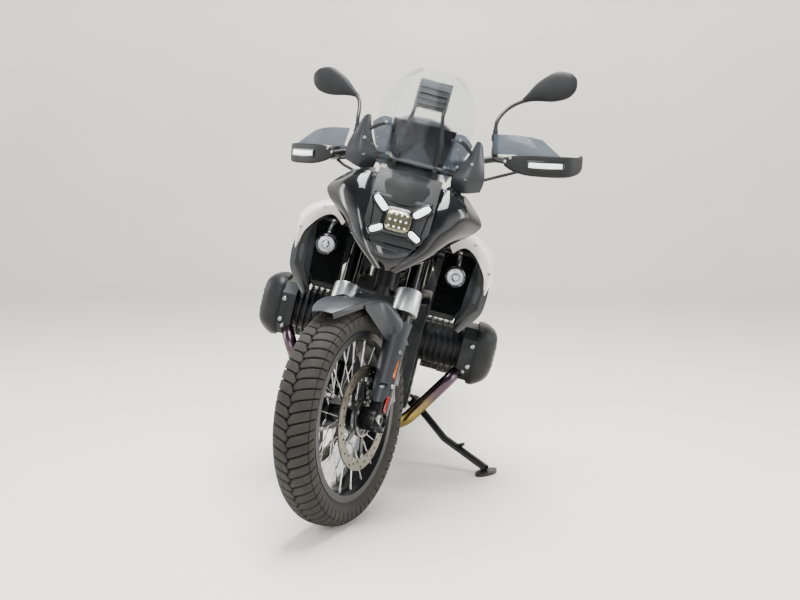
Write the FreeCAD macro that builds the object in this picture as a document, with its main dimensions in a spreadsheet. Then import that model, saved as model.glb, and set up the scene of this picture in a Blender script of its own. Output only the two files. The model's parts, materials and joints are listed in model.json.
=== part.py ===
import FreeCAD, Part
import math
import os
import Sketcher
from types import SimpleNamespace
from FreeCAD import Placement, Rotation, Vector

# Adventure motorcycle with a flat twin engine, parked on its side stand.
# Each piece is modelled on the upright, straight steered machine: X to its left, Y to its rear, Z up,
# with the point under the front axle at zero. The last step leans and steers the finished pieces.
# Every length is a named value in millimetres, every angle is in degrees.

SIZES = {
    # Running gear
    "wheelbase": 1518,
    "head_angle": 63.8,
    "trail": 112,
    "lean_angle": 14.1,
    "steer_angle": 24,
    "front_tyre_radius": 325.3,
    "front_tyre_width": 120,
    "front_bead_radius": 241.3,
    "rear_tyre_radius": 317.9,
    "rear_tyre_width": 170,
    "rear_bead_radius": 215.9,
    "running_gap": 0.3,
    "cut_overrun": 2,
    "turn_clearance": 8,
    # Wire wheels
    "rim_lip_height": 10,
    "rim_lip_thickness": 3.5,
    "rim_depth": 21,
    "spoke_radius": 2,
    "spoke_root_depth": 3,
    "spoke_count": 20,
    "hub_radius": 27,
    "hub_flange_radius": 46,
    "hub_flange_thickness": 6,
    "hub_flange_offset": 34,
    "disc_seat_radius": 56,
    "disc_seat_thickness": 8,
    "front_disc_radius": 155,
    "rear_disc_radius": 142.5,
    "disc_band": 36,
    "disc_thickness": 4.5,
    "disc_offset": 64,
    "disc_hole_radius": 4,
    "disc_arm_width": 16,
    # Front axle and fork
    "axle_radius": 12.5,
    "axle_bore_radius": 9,
    "axle_half_length": 115,
    "axle_nut_radius": 19,
    "axle_nut_length": 9,
    "fork_half_spacing": 106,
    "fork_setback": 8,
    "slider_radius": 29,
    "slider_foot_drop": 30,
    "slider_length": 333,
    "axle_clamp_radius": 34,
    "axle_clamp_width": 46,
    "collar_radius": 40,
    "collar_length": 75,
    "stanchion_radius": 22.5,
    "stanchion_proud": 9,
    "stanchion_root": 60,
    "bridge_thickness": 34,
    "bridge_reach": 66,
    "bridge_width": 60,
    "yoke_height": 975,
    "yoke_thickness": 30,
    "yoke_rim": 14,
    # Front brakes
    "caliper_inner_radius": 96,
    "caliper_outer_radius": 182,
    "caliper_half_thickness": 19,
    "caliper_slot": 10,
    "caliper_start_angle": 8,
    "caliper_end_angle": 50,
    "brake_hose_radius": 5,
    # Front mudguard
    "guard_clearance": 22,
    "guard_thickness": 4,
    "guard_tip_rise": 26,
    "guard_front_angle": 122,
    "guard_rear_angle": 34,
    "leg_cover_thickness": 5,
    # Reflectors
    "reflector_radius": 13,
    "reflector_thickness": 7,
    # Handlebar
    "bar_radius": 15,
    "bar_end_radius": 11,
    "bar_lift": 107,
    "bar_offset": 18.4,
    "bar_half_width": 468,
    "bar_rise": 26,
    "bar_sweep": 150,
    "grip_radius": 17,
    "grip_length": 118,
    "switch_radius": 24,
    "switch_length": 56,
    "riser_radius": 19,
    "riser_half_spacing": 62,
    "lever_radius": 7,
    "lever_reach": 62,
    # Hand guards
    "hand_guard_outer": 500,
    "hand_guard_inner": 300,
    "hand_guard_drop": 24,
    "hand_guard_height": 68,
    "hand_guard_thickness": 14,
    "hand_shield_inner": 262,
    "hand_shield_height": 56,
    "indicator_height": 26,
    "indicator_thickness": 9,
    # Mirrors
    "mirror_inner": 288,
    "mirror_outer": 468,
    "mirror_rise": 216,
    "mirror_height": 95,
    "mirror_sweep": 144,
    "mirror_thickness": 30,
    "mirror_stem_radius": 6.5,
    "mirror_base_radius": 11,
    "mirror_base_length": 92,
    # Main frame
    "head_casting_half_width": 46,
    "frame_plate_inner": 96,
    "frame_plate_thickness": 16,
    "frame_front": 446,
    "frame_top": 962,
    "frame_seat_gap": 5.6,
    "pivot_setback": 508,
    "pivot_height": 400,
    "pivot_radius": 34,
    "frame_low": 330,
    "frame_rear_run": 46,
    # Flat twin engine
    "engine_front": 400,
    "engine_rear": 930,
    "engine_low": 222,
    "engine_high": 655,
    "engine_half_width": 150,
    "engine_cover_radius": 118,
    "engine_cover_depth": 14,
    "cylinder_setback": 570,
    "cylinder_height": 506,
    "barrel_radius": 68,
    "barrel_outer": 286,
    "fin_radius": 88,
    "fin_thickness": 4,
    "fin_count": 6,
    "head_outer": 332,
    "head_length": 196,
    "head_height": 178,
    "head_cover_outer": 402,
    "head_cover_height": 206,
    # Exhaust
    "header_radius": 21,
    "header_low": 194,
    "header_half_spacing": 74,
    "collector_rear": 890,
    "collector_width": 230,
    "silencer_front": 1130,
    "silencer_rear": 1545,
    "silencer_centre": 196,
    "silencer_height": 452,
    "silencer_width": 104,
    "silencer_depth": 132,
    "silencer_rise": 118,
    "skid_low": 158,
    "skid_thickness": 5,
    "skid_front": 385,
    "skid_rear": 790,
    "skid_half_width": 150,
    # Rear drive and swingarm
    "arm_inner": 98,
    "arm_outer": 158,
    "arm_height": 92,
    "drive_radius": 92,
    "drive_inner": 74,
    "drive_outer": 152,
    "rear_hub_length": 60,
    "torque_strut_radius": 11,
    "shock_radius": 24,
    "spring_radius": 44,
    "spring_wire": 6,
    "spring_turns": 6,
    "rear_caliper_half_thickness": 16,
    "rear_caliper_start_angle": 118,
    "rear_caliper_end_angle": 155,
    "hugger_front_angle": 176,
    "hugger_rear_angle": 104,
    # Bodywork
    "tank_front": 505,
    "tank_rear": 850,
    "tank_low": 800,
    "tank_high": 1012,
    "tank_half_width": 158,
    "cover_gap": 6,
    "cover_step": 20,
    "cover_low": 650,
    "filler_radius": 46,
    "filler_thickness": 9,
    "filler_setback": 612,
    "nose_front": 20,
    "nose_rear": 236,
    "nose_low": 763,
    "nose_high": 1052,
    "nose_half_width": 100,
    "lamp_front": 62,
    "lamp_half_width": 84,
    "lamp_low": 842,
    "lamp_high": 978,
    "lens_radius": 41,
    "lens_depth": 26,
    "light_bar_width": 17,
    "light_bar_thickness": 8,
    "side_panel_outer": 205,
    "side_panel_rear": 330,
    "cowl_front": 318,
    "cowl_rear": 560,
    "cowl_outer": 316,
    "cowl_inner": 150,
    "cowl_low": 592,
    "cowl_high": 905,
    "white_panel_rise": 24,
    "radiator_inner": 148,
    "radiator_outer": 268,
    "radiator_low": 622,
    "radiator_high": 846,
    "radiator_front": 352,
    "radiator_thickness": 36,
    "fog_lamp_radius": 31,
    "fog_lamp_depth": 42,
    "fog_lamp_spacing": 205,
    "fog_lamp_height": 776,
    "fog_lamp_front": 217,
    # Screen and cockpit
    "screen_low": 1040,
    "screen_high": 1376,
    "screen_front": 138,
    "screen_rear": 372,
    "screen_half_width": 146,
    "screen_thickness": 4,
    "deflector_outer": 214,
    "deflector_height": 150,
    "deflector_thickness": 4,
    "carrier_radius": 9,
    "display_width": 200,
    "display_height": 112,
    "display_thickness": 24,
    "display_setback": 264,
    "display_low": 1092,
    "holder_radius": 6,
    "holder_width": 104,
    "holder_height": 92,
    "holder_low": 1250,
    "holder_setback": 300,
    "holder_depth": 84,
    # Seats and tail
    "seat_height": 850,
    "seat_thickness": 72,
    "seat_length": 352,
    "seat_front_half_width": 82,
    "seat_rear_half_width": 150,
    "pillion_step": 62,
    "pillion_length": 318,
    "pillion_half_width": 128,
    "seat_gap": 6,
    "tail_length": 336,
    "tail_half_width": 92,
    "tail_thickness": 72,
    "tail_cover_low": 650,
    "tail_cover_thickness": 14,
    "tail_lamp_thickness": 14,
    "subframe_radius": 13,
    "subframe_half_width": 84,
    "rack_radius": 9,
    "rack_half_width": 140,
    "rack_plate_thickness": 8,
    "rack_bolt_circle": 110,
    "rack_bolt_radius": 4.25,
    "rack_length": 236,
    "overall_rear": 1887,
    "plate_width": 190,
    "plate_height": 200,
    "plate_thickness": 3,
    "plate_low": 560,
    # Foot controls
    "footpeg_height": 372,
    "footpeg_setback": 872,
    "footpeg_outer": 312,
    "footpeg_radius": 14,
    "pillion_peg_height": 492,
    "pillion_peg_setback": 1150,
    "pillion_peg_outer": 300,
    "hanger_thickness": 10,
    "pedal_radius": 7,
    # Side stand
    "stand_pivot_offset": 186,
    "stand_pivot_setback": 742,
    "stand_pivot_height": 250,
    "stand_leg_radius": 13,
    "stand_foot_out": 493,
    "stand_foot_setback": 547,
    "stand_foot_length": 104,
    "stand_foot_width": 52,
    "stand_foot_thickness": 11,
    "stand_pin_radius": 9,
    "stand_fork_width": 34,
}


class Size(float):
    """A length that keeps the sheet expression it comes from."""

    def __new__(cls, value, expression):
        made = super().__new__(cls, value)
        made.expression = expression
        return made

    def __add__(self, other):
        return Size(float(self) + float(other), f"({text(self)} + {text(other)})")

    def __sub__(self, other):
        return Size(float(self) - float(other), f"({text(self)} - {text(other)})")

    def __mul__(self, other):
        return Size(float(self) * float(other), f"({text(self)} * {text(other)})")

    def __truediv__(self, other):
        return Size(float(self) / float(other), f"({text(self)} / {text(other)})")

    def __neg__(self):
        return Size(-float(self), f"(0 - {text(self)})")

    __radd__ = __add__
    __rmul__ = __mul__

    def __rsub__(self, other):
        return Size(float(other) - float(self), f"({text(other)} - {text(self)})")


def text(value):
    """The expression of a named size, or a plain number as text."""
    return value.expression if isinstance(value, Size) else f"{float(value):.12g}"


doc = FreeCAD.newDocument("adventure_motorcycle")
sheet = doc.addObject("Spreadsheet::Sheet", "Sizes")
for row, (alias, number) in enumerate(SIZES.items(), start=1):
    sheet.set(f"A{row}", alias)
    sheet.set(f"B{row}", str(number))
    sheet.setAlias(f"B{row}", alias)
doc.recompute()
z = SimpleNamespace(**{name: Size(float(sheet.get(name)), f"Sizes.{name}") for name in SIZES})

BODIES = ("root", "steering", "front_wheel", "rear_wheel", "side_stand", "filler_cap")
members = {body: [] for body in BODIES}

SIDES = (("left", 1), ("right", -1))
ALONG_X = Vector(1, 0, 0)
ALONG_Y = Vector(0, 1, 0)
UPWARD = Vector(0, 0, 1)

# Steering axis, its direction leaning back from the ground ahead of the wheel
steer_tilt = math.radians(z.head_angle)
STEER_UP = Vector(0, math.cos(steer_tilt), math.sin(steer_tilt))
STEER_BACK = Vector(0, math.sin(steer_tilt), -math.cos(steer_tilt))
STEER_FOOT = Vector(0, -z.trail, 0)
FRONT_AXLE = Vector(0, 0, z.front_tyre_radius)
REAR_AXLE = Vector(0, z.wheelbase, z.rear_tyre_radius)


def keep(node, name, body):
    """Label a finished sub-part and note the body that it moves with."""
    node.Label = name
    members[body].append(node)
    return node


def solid_node(name, body, *shapes):
    """A sub-part made of one or more separate solids worked out in code."""
    shapes = [single(shape) for shape in shapes]
    node = doc.addObject("Part::Feature", name)
    node.Shape = shapes[0] if len(shapes) == 1 else Part.makeCompound(shapes)
    return keep(node, name, body)


def single(shape):
    """The main solid of a boolean's result."""
    return max(shape.Solids, key=lambda item: item.Volume)


def mirrored(shape):
    return shape.mirror(Vector(0, 0, 0), ALONG_X)


def sided(shape, side):
    return shape if side > 0 else mirrored(shape)


def joined(first, *others):
    return single(first.multiFuse(list(others)).removeSplitter())


def rod(start, end, radius):
    """Round bar between two points."""
    run = end - start
    return Part.makeCylinder(float(radius), run.Length, start, run)


def between(low, high, share):
    return float(low) + (float(high) - float(low)) * share


def mapped(shares, low, high):
    """Outline points given as shares of the box from its low corner to its high corner."""
    return [Vector(*(between(low[i], high[i], point[i]) for i in range(len(point)))) for point in shares]


def side_outline(shares, front, rear, low, high):
    """Outline in the side view, as shares of the length and the height of the piece."""
    return [Vector(0, between(front, rear, a), between(low, high, b)) for a, b in shares]


def closed_face(points):
    return Part.Face(Part.makePolygon(list(points) + [points[0]]))


def slab(points, start, end):
    """Side outline carried across the machine from one offset to another."""
    flat = closed_face(points)
    flat.translate(Vector(float(start), 0, 0))
    return flat.extrude(Vector(float(end) - float(start), 0, 0))


def raised(points, thickness):
    """Plan or front outline carried along its own normal."""
    flat = closed_face(points)
    return flat.extrude(flat.normalAt(0, 0) * float(thickness))


def skin(*stations):
    """Solid through a row of flat stations that have as many corners each."""
    wires = [Part.makePolygon(list(points) + [points[0]]) for points in stations]
    return Part.makeLoft(wires, True, True)


HALF_RUN_SHARE = 0.48


def bent_tube(points, radius, bend):
    """Round tube along straight runs joined by tangent arcs."""
    edges = []
    start = points[0]
    for before, corner, after in zip(points, points[1:], points[2:]):
        back = (before - corner).normalize()
        forth = (after - corner).normalize()
        half = back.getAngle(forth) / 2
        reach = min(float(bend) / math.tan(half), (before - corner).Length * HALF_RUN_SHARE,
                    (after - corner).Length * HALF_RUN_SHARE)
        first = corner + back * reach
        last = corner + forth * reach
        centre = corner + (back + forth).normalize() * (reach / math.cos(half))
        middle = centre + (corner - centre).normalize() * (reach * math.tan(half))
        edges.append(Part.LineSegment(start, first).toShape())
        edges.append(Part.Arc(first, middle, last).toShape())
        start = last
    edges.append(Part.LineSegment(start, points[-1]).toShape())
    ring = Part.Wire(Part.Circle(points[0], points[1] - points[0], float(radius)).toShape())
    return single(Part.Wire(edges).makePipeShell([ring], True, True))


def origin_plane(body, role):
    return next(item for item in body.Origin.OriginFeatures if item.Role == role)


def bound_outline(body, name, points):
    """Closed sketch on the body's XY plane with every corner bound to the sheet."""
    sketch = body.newObject("Sketcher::SketchObject", name)
    sketch.AttachmentSupport = [(origin_plane(body, "XY_Plane"), "")]
    sketch.MapMode = "FlatFace"
    corners = [Vector(float(a), float(b), 0) for a, b in points]
    count = len(corners)
    for i in range(count):
        sketch.addGeometry(Part.LineSegment(corners[i], corners[(i + 1) % count]))
    for i in range(count):
        sketch.addConstraint(Sketcher.Constraint("Coincident", i, 2, (i + 1) % count, 1))
    for i, corner in enumerate(points):
        for kind, axis, value in (("DistanceX", -2, corner[0]), ("DistanceY", -1, corner[1])):
            if float(value) == 0:
                sketch.addConstraint(Sketcher.Constraint("PointOnObject", i, 1, axis))
                continue
            number = sketch.addConstraint(Sketcher.Constraint(kind, -1, 1, i, 1, float(value)))
            sketch.setExpression(f"Constraints[{number}]", text(value))
    return sketch


def turned_body(name, points):
    """Body turned about the local X axis from an outline of axial and radial sizes."""
    body = doc.addObject("PartDesign::Body", name + "_body")
    sketch = bound_outline(body, name + "_outline", points)
    turn = body.newObject("PartDesign::Revolution", name + "_turned")
    turn.Profile = sketch
    turn.ReferenceAxis = (sketch, ["H_Axis"])
    turn.Angle = 360
    sketch.Visibility = False
    return body


# Wheels

TYRE_SHARES = ((0.74, 0), (0.74, 0.12), (0.98, 0.4), (1, 0.56), (0.92, 0.75), (0.6, 0.94), (0.2, 1))
BEAD_SHARE = TYRE_SHARES[0][0]
WELL_SHARE = 0.5
SPOKE_RIM_SHARE = 0.72
SPOKE_TWIST_SHARE = 0.92


def tyre_rings(half, bead, radius):
    """Corners of one half of the tyre's section, as axial offset and radius."""
    return [(half * a, bead + (radius - bead) * b) for a, b in TYRE_SHARES]


def tyre(name, body, half, bead, radius, centre):
    rings = tyre_rings(half, bead, radius)
    points = rings + [(-a, b) for a, b in reversed(rings)]
    node = turned_body(name, points)
    node.Placement = Placement(centre, Rotation())
    return keep(node, name, body)


def wheel_spokes(rim_offset, rim_radius, hub_offset, hub_radius):
    """Crossing pairs of spokes from the rim's edges to the hub's flanges."""
    step = 360 / float(z.spoke_count)
    rods = []
    for side in (1, -1):
        for number in range(int(z.spoke_count)):
            twist = step * SPOKE_TWIST_SHARE * (1 if number % 2 else -1)
            rim_angle = math.radians(number * step + side * step / 4)
            hub_angle = rim_angle + math.radians(twist)
            outer = Vector(0, math.cos(rim_angle), math.sin(rim_angle)) * float(rim_radius)
            inner = Vector(0, math.cos(hub_angle), math.sin(hub_angle)) * float(hub_radius)
            rods.append(rod(inner + ALONG_X * float(hub_offset * side), outer + ALONG_X * float(rim_offset * side),
                            z.spoke_radius))
    return rods


def turned(points, centre):
    """Ring or boss turned about the wheel's axle line from axial and radial sizes."""
    corners = [Vector(float(a), float(b), 0) for a, b in points]
    shape = closed_face(corners).revolve(Vector(0, 0, 0), ALONG_X, 360)
    shape.translate(centre)
    return shape


def wire_rim(name, body, half, bead, centre, hub_points, hub_offset):
    """Rim, spokes and hub as one welded and laced wheel."""
    seat = half * BEAD_SHARE + z.running_gap
    lip = seat + z.rim_lip_thickness
    edge = bead - z.running_gap
    well = edge - z.rim_depth
    band = [(-lip, edge + z.rim_lip_height), (-seat, edge + z.rim_lip_height), (-seat, edge), (seat, edge),
            (seat, edge + z.rim_lip_height), (lip, edge + z.rim_lip_height), (lip, edge - z.rim_lip_height),
            (seat * WELL_SHARE, well), (-seat * WELL_SHARE, well), (-lip, edge - z.rim_lip_height)]
    ring = turned(band, Vector())
    hub = turned(hub_points, Vector())
    root_radius = z.hub_flange_radius - z.spoke_root_depth
    spokes = wheel_spokes(seat * SPOKE_RIM_SHARE, edge - z.rim_lip_height, hub_offset, root_radius)
    wheel = joined(ring, hub, *spokes)
    wheel.translate(centre)
    return solid_node(name, body, wheel)


front_half = z.front_tyre_width / 2
rear_half = z.rear_tyre_width / 2
tyre("front_tyre", "front_wheel", front_half, z.front_bead_radius, z.front_tyre_radius, FRONT_AXLE)
tyre("rear_tyre", "rear_wheel", rear_half, z.rear_bead_radius, z.rear_tyre_radius, REAR_AXLE)

hub_bore = z.axle_radius + z.running_gap
flange_in = z.hub_flange_offset - z.hub_flange_thickness
seat_in = z.disc_offset - z.disc_seat_thickness
front_hub_half = [(z.disc_offset, hub_bore), (z.disc_offset, z.disc_seat_radius), (seat_in, z.disc_seat_radius),
                  (seat_in, z.hub_radius), (z.hub_flange_offset, z.hub_radius),
                  (z.hub_flange_offset, z.hub_flange_radius), (flange_in, z.hub_flange_radius),
                  (flange_in, z.hub_radius)]
front_hub = front_hub_half + [(-a, b) for a, b in reversed(front_hub_half)]
spoke_root_offset = z.hub_flange_offset - z.hub_flange_thickness / 2
wire_rim("front_rim", "front_wheel", front_half, z.front_bead_radius, FRONT_AXLE, front_hub, spoke_root_offset)

DISC_HOLE_STEPS = 36
DISC_HOLE_ROW_SHARES = (0.25, 0.5, 0.75)
DISC_ARMS = 6
ARM_ROOT_SHARE = 0.8


def brake_disc(radius, band, offset, centre):
    """Drilled brake ring on a carrier with six arms, its inner face at the given offset."""
    thick = float(z.disc_thickness)
    foot = Vector(offset, 0, 0)
    carrier = Part.makeCylinder(z.disc_seat_radius, thick, foot, ALONG_X)
    bore = Part.makeCylinder(z.hub_radius, thick, foot, ALONG_X)
    outer = Part.makeCylinder(radius, thick, foot, ALONG_X)
    inner = Part.makeCylinder(radius - band, thick, foot, ALONG_X)
    ring = outer.cut(inner)
    holes = []
    for number in range(DISC_HOLE_STEPS):
        angle = math.radians(360 * number / DISC_HOLE_STEPS)
        row_share = DISC_HOLE_ROW_SHARES[number % len(DISC_HOLE_ROW_SHARES)]
        reach = radius - band * row_share
        place = Vector(offset, reach * math.cos(angle), reach * math.sin(angle))
        holes.append(Part.makeCylinder(z.disc_hole_radius, thick, place, ALONG_X))
    ring = ring.cut(Part.makeCompound(holes))
    arm_root = z.disc_seat_radius * ARM_ROOT_SHARE
    arm_tip = radius - band / 2
    arms = []
    for number in range(DISC_ARMS):
        arm = Part.makeBox(thick, z.disc_arm_width, arm_tip - arm_root)
        arm.translate(Vector(offset, -z.disc_arm_width / 2, arm_root))
        arm.rotate(Vector(), ALONG_X, 360 * number / DISC_ARMS)
        arms.append(arm)
    spider = joined(carrier, *arms).common(Part.makeCylinder(arm_tip, thick, foot, ALONG_X))
    disc = single(joined(ring, single(spider)).cut(bore))
    disc.translate(centre)
    return disc


front_disc = brake_disc(z.front_disc_radius, z.disc_band, z.disc_offset, FRONT_AXLE)
solid_node("front_discs", "front_wheel", front_disc, mirrored(front_disc))

# The rear wheel is carried from one side, on the flange of the bevel drive
rear_bore = hub_bore * 2
rear_hub = [(-z.rear_hub_length, rear_bore), (-z.rear_hub_length, z.hub_radius * 2 - z.hub_flange_thickness),
            (-z.hub_flange_offset, z.hub_flange_radius), (z.hub_flange_offset, z.hub_flange_radius),
            (seat_in, z.disc_seat_radius), (z.disc_offset, z.disc_seat_radius), (z.disc_offset, rear_bore)]
wire_rim("rear_rim", "rear_wheel", rear_half, z.rear_bead_radius, REAR_AXLE, rear_hub, spoke_root_offset)
rear_disc = brake_disc(z.rear_disc_radius, z.disc_band, z.disc_offset, REAR_AXLE)
solid_node("rear_disc", "rear_wheel", rear_disc)

# Front axle and fork

axle = Part.makeCylinder(z.axle_radius, z.axle_half_length * 2, Vector(-z.axle_half_length, 0, 0), ALONG_X)
nut = Part.makeCylinder(z.axle_nut_radius, z.axle_nut_length, Vector(z.axle_half_length, 0, 0), ALONG_X)
nuts = [nut, mirrored(nut)]
bore_half = z.axle_half_length + z.axle_nut_length + z.cut_overrun
axle_bore = Part.makeCylinder(z.axle_bore_radius, bore_half * 2, Vector(-bore_half, 0, 0), ALONG_X)
front_axle = single(joined(axle, *nuts).cut(axle_bore))
front_axle.translate(FRONT_AXLE)
solid_node("front_axle", "steering", front_axle)

LEG_FOOT = FRONT_AXLE + STEER_BACK * z.fork_setback


def on_leg(distance, offset=0):
    """Point on a fork leg's centre line, at a distance up from the axle."""
    return LEG_FOOT + STEER_UP * float(distance) + Vector(float(offset), 0, 0)


yoke_rise = (z.yoke_height - LEG_FOOT.z) / STEER_UP.z
yoke_low = yoke_rise - z.yoke_thickness / 2
yoke_top = yoke_low + z.yoke_thickness
stanchion_length = yoke_top + z.stanchion_proud

slider = rod(on_leg(-z.slider_foot_drop, z.fork_half_spacing), on_leg(z.slider_length, z.fork_half_spacing),
             z.slider_radius)
clamp = Part.makeCylinder(z.axle_clamp_radius, z.axle_clamp_width,
                          FRONT_AXLE + Vector(z.axle_half_length - z.axle_clamp_width, 0, 0), ALONG_X)
axle_hole = Part.makeCylinder(z.axle_radius + z.running_gap, z.axle_half_length * 2, FRONT_AXLE, ALONG_X)
slider_bore = rod(on_leg(z.slider_length - z.stanchion_root, z.fork_half_spacing),
                  on_leg(z.slider_length + z.cut_overrun, z.fork_half_spacing), z.stanchion_radius + z.running_gap)
nut_space = Part.makeCylinder(z.axle_nut_radius + z.running_gap, z.fork_half_spacing,
                              FRONT_AXLE + ALONG_X * float(z.axle_half_length), ALONG_X)
slider = single(joined(slider, clamp).cut(axle_hole).cut(slider_bore).cut(nut_space))
solid_node("fork_sliders", "steering", slider, mirrored(slider))

collar_low = z.slider_length + z.running_gap
collar = rod(on_leg(collar_low, z.fork_half_spacing), on_leg(collar_low + z.collar_length, z.fork_half_spacing),
             z.collar_radius)
collar_bore = rod(on_leg(collar_low - z.cut_overrun, z.fork_half_spacing),
                  on_leg(collar_low + z.collar_length + z.cut_overrun, z.fork_half_spacing),
                  z.stanchion_radius + z.running_gap)
collar = single(collar.cut(collar_bore))
solid_node("fork_collars", "steering", collar, mirrored(collar))

stanchion = rod(on_leg(z.slider_length - z.stanchion_root, z.fork_half_spacing),
                on_leg(stanchion_length, z.fork_half_spacing), z.stanchion_radius)
solid_node("fork_stanchions", "steering", stanchion, mirrored(stanchion))

steer_offset = (LEG_FOOT - STEER_FOOT).dot(STEER_BACK)


def in_yoke(across, back, rise):
    """Point in the fork's own frame: across, back from the leg line, and up from the axle."""
    return LEG_FOOT + Vector(float(across), 0, 0) + STEER_BACK * float(back) + STEER_UP * float(rise)


# The bridge joins both collars behind the wheel's top and carries the ball joint on the steering axis
bridge_mid = collar_low + z.collar_length / 2
half_bar = z.bridge_width / 2
bridge_low = bridge_mid - z.bridge_thickness / 2
bridge_half = [(z.fork_half_spacing, 0), (z.fork_half_spacing, half_bar / 2), (half_bar, z.bridge_reach)]
bridge_plan = bridge_half + [(-across, back) for across, back in reversed(bridge_half)]
bridge_points = [in_yoke(across, back, bridge_low) for across, back in bridge_plan]
bridge = closed_face(bridge_points).extrude(STEER_UP * float(z.bridge_thickness))
collar_space = rod(on_leg(collar_low - z.cut_overrun, z.fork_half_spacing),
                   on_leg(collar_low + z.collar_length + z.cut_overrun, z.fork_half_spacing), z.collar_radius)
bridge = single(bridge.cut(collar_space).cut(mirrored(collar_space)))

eye = z.stanchion_radius + z.yoke_rim
yoke_half = [(z.fork_half_spacing, -eye), (z.fork_half_spacing + eye, 0), (z.fork_half_spacing, eye),
             (half_bar, eye * 2)]
yoke_plan = yoke_half + [(-across, back) for across, back in reversed(yoke_half)]
yoke_points = [in_yoke(across, back, yoke_low) for across, back in yoke_plan]
yoke = closed_face(yoke_points).extrude(STEER_UP * float(z.yoke_thickness))
leg_space = rod(on_leg(yoke_low - z.cut_overrun, z.fork_half_spacing),
                on_leg(stanchion_length + z.cut_overrun, z.fork_half_spacing), z.stanchion_radius + z.running_gap)
yoke = yoke.cut(leg_space).cut(mirrored(leg_space))
bar_height = z.yoke_height + z.bar_lift
bar_setback = bar_height * (1 / math.tan(steer_tilt)) - z.trail - z.bar_offset
BAR_CENTRE = Vector(0, bar_setback, bar_height)
riser_top = BAR_CENTRE + ALONG_X * float(z.riser_half_spacing)
riser_drop = (riser_top - LEG_FOOT).dot(STEER_UP) - float(yoke_top - z.cut_overrun)
riser_foot = riser_top - STEER_UP * riser_drop
riser = rod(riser_foot, riser_top + STEER_UP * float(z.bar_radius), z.riser_radius)
bar_space = Part.makeCylinder(z.bar_radius + z.running_gap, z.riser_half_spacing * 4,
                              BAR_CENTRE - Vector(z.riser_half_spacing * 2, 0, 0), ALONG_X)
yoke = single(joined(single(yoke), riser, mirrored(riser)).cut(bar_space))
solid_node("fork_bridges", "steering", yoke, bridge)

# Handlebar, grips, levers

BAR_SHARES = ((0, 0, 0), (0.26, 0, 0), (0.52, 0.42, 1), (1, 1, 0.55))
bar_end = Vector(z.bar_half_width, bar_setback + z.bar_sweep, bar_height + z.bar_rise)
bar_path = mapped(BAR_SHARES, BAR_CENTRE, bar_end)
bar_left = bent_tube(bar_path, z.bar_end_radius, z.bar_sweep / 2)
bar_core = Part.makeCylinder(z.bar_radius, z.riser_half_spacing * 3,
                             BAR_CENTRE - Vector(z.riser_half_spacing * 3 / 2, 0, 0), ALONG_X)
handlebar = joined(bar_left, mirrored(bar_left), bar_core)
solid_node("handlebar", "steering", handlebar)

bar_run = (bar_path[-1] - bar_path[-2]).normalize()
bar_tip = bar_path[-1]


def on_bar(back, radius, length):
    """Sleeve round the straight outer end of the bar, a distance in from its tip."""
    end = bar_tip - bar_run * float(back)
    start = end - bar_run * float(length)
    sleeve = rod(start, end, radius)
    hole = rod(start - bar_run * float(z.cut_overrun), end + bar_run * float(z.cut_overrun),
               z.bar_end_radius + z.running_gap)
    return single(sleeve.cut(hole))


grip = on_bar(0, z.grip_radius, z.grip_length)
solid_node("handlebar_grips", "steering", grip, mirrored(grip))
switch = on_bar(z.grip_length + z.running_gap, z.switch_radius, z.switch_length)

bar_side = bar_run.cross(UPWARD).normalize()
LEVER_TIP_SHARE = 0.72
lever_drop = UPWARD * float(z.switch_radius / 2)
lever_root = bar_tip - bar_run * float(z.grip_length + z.switch_length / 2) - lever_drop
lever_tip = bar_tip - bar_run * float(z.grip_length / 3) + bar_side * float(z.lever_reach * LEVER_TIP_SHARE)
lever_points = [lever_root + bar_side * float(z.switch_radius / 2), lever_root + bar_side * float(z.lever_reach),
                lever_tip - lever_drop]
lever = bent_tube(lever_points, z.lever_radius, z.lever_reach / 3)
switch_space = rod(bar_tip - bar_run * float(z.grip_length + z.switch_length + z.running_gap),
                   bar_tip - bar_run * float(z.grip_length + z.running_gap), z.switch_radius)
controls = joined(switch, single(lever.cut(switch_space)))
solid_node("bar_controls", "steering", controls, mirrored(controls))

# Hand guards with their shields and indicator strips

GUARD_OUTER_SHARES = ((0, 0), (0.28, 0.05), (0.895, 0.37), (1, 0.64), (0.98, 1.05))
GUARD_INNER_SHARES = ((0.90, 1.05), (0.925, 0.66), (0.83, 0.46), (0.27, 0.14), (0, 0.09))
guard_rear = bar_setback + z.bar_sweep
guard_low = bar_height - z.hand_guard_drop
guard_high = guard_low + z.hand_guard_height


def plan_points(shares, inner, outer, front, rear, height):
    return [Vector(between(inner, outer, a), between(front, rear, b), float(height)) for a, b in shares]


guard_plan = plan_points(GUARD_OUTER_SHARES + GUARD_INNER_SHARES, z.hand_guard_inner, z.hand_guard_outer,
                         bar_setback, guard_rear, guard_low)
hand_guard = closed_face(guard_plan).extrude(UPWARD * float(guard_high - guard_low))
guard_mount = rod(bar_tip, bar_tip + bar_run * float(z.bar_end_radius * 2), z.bar_end_radius)
stay_x = z.hand_guard_inner + z.hand_guard_thickness / 2
stay_front = Vector(stay_x, bar_setback + z.hand_guard_thickness / 2, bar_tip.z)
STAY_ROOT_SHARE = 0.2
stay_back = bar_path[-2] + (bar_tip - bar_path[-2]) * STAY_ROOT_SHARE
guard_stay = rod(stay_front, stay_back, z.mirror_stem_radius)
bar_hole = rod(bar_path[-2], bar_tip, z.bar_end_radius + z.running_gap)
hand_guard = joined(hand_guard, guard_mount, guard_stay).cut(bar_hole)
STRIP_RISE_SHARE = 0.6
strip_middle = between(guard_low, guard_high, STRIP_RISE_SHARE)
strip_start, strip_end = plan_points(GUARD_OUTER_SHARES[1:3], z.hand_guard_inner, z.hand_guard_outer, bar_setback,
                                     guard_rear, strip_middle)
strip_run = (strip_end - strip_start).normalize()
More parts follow.
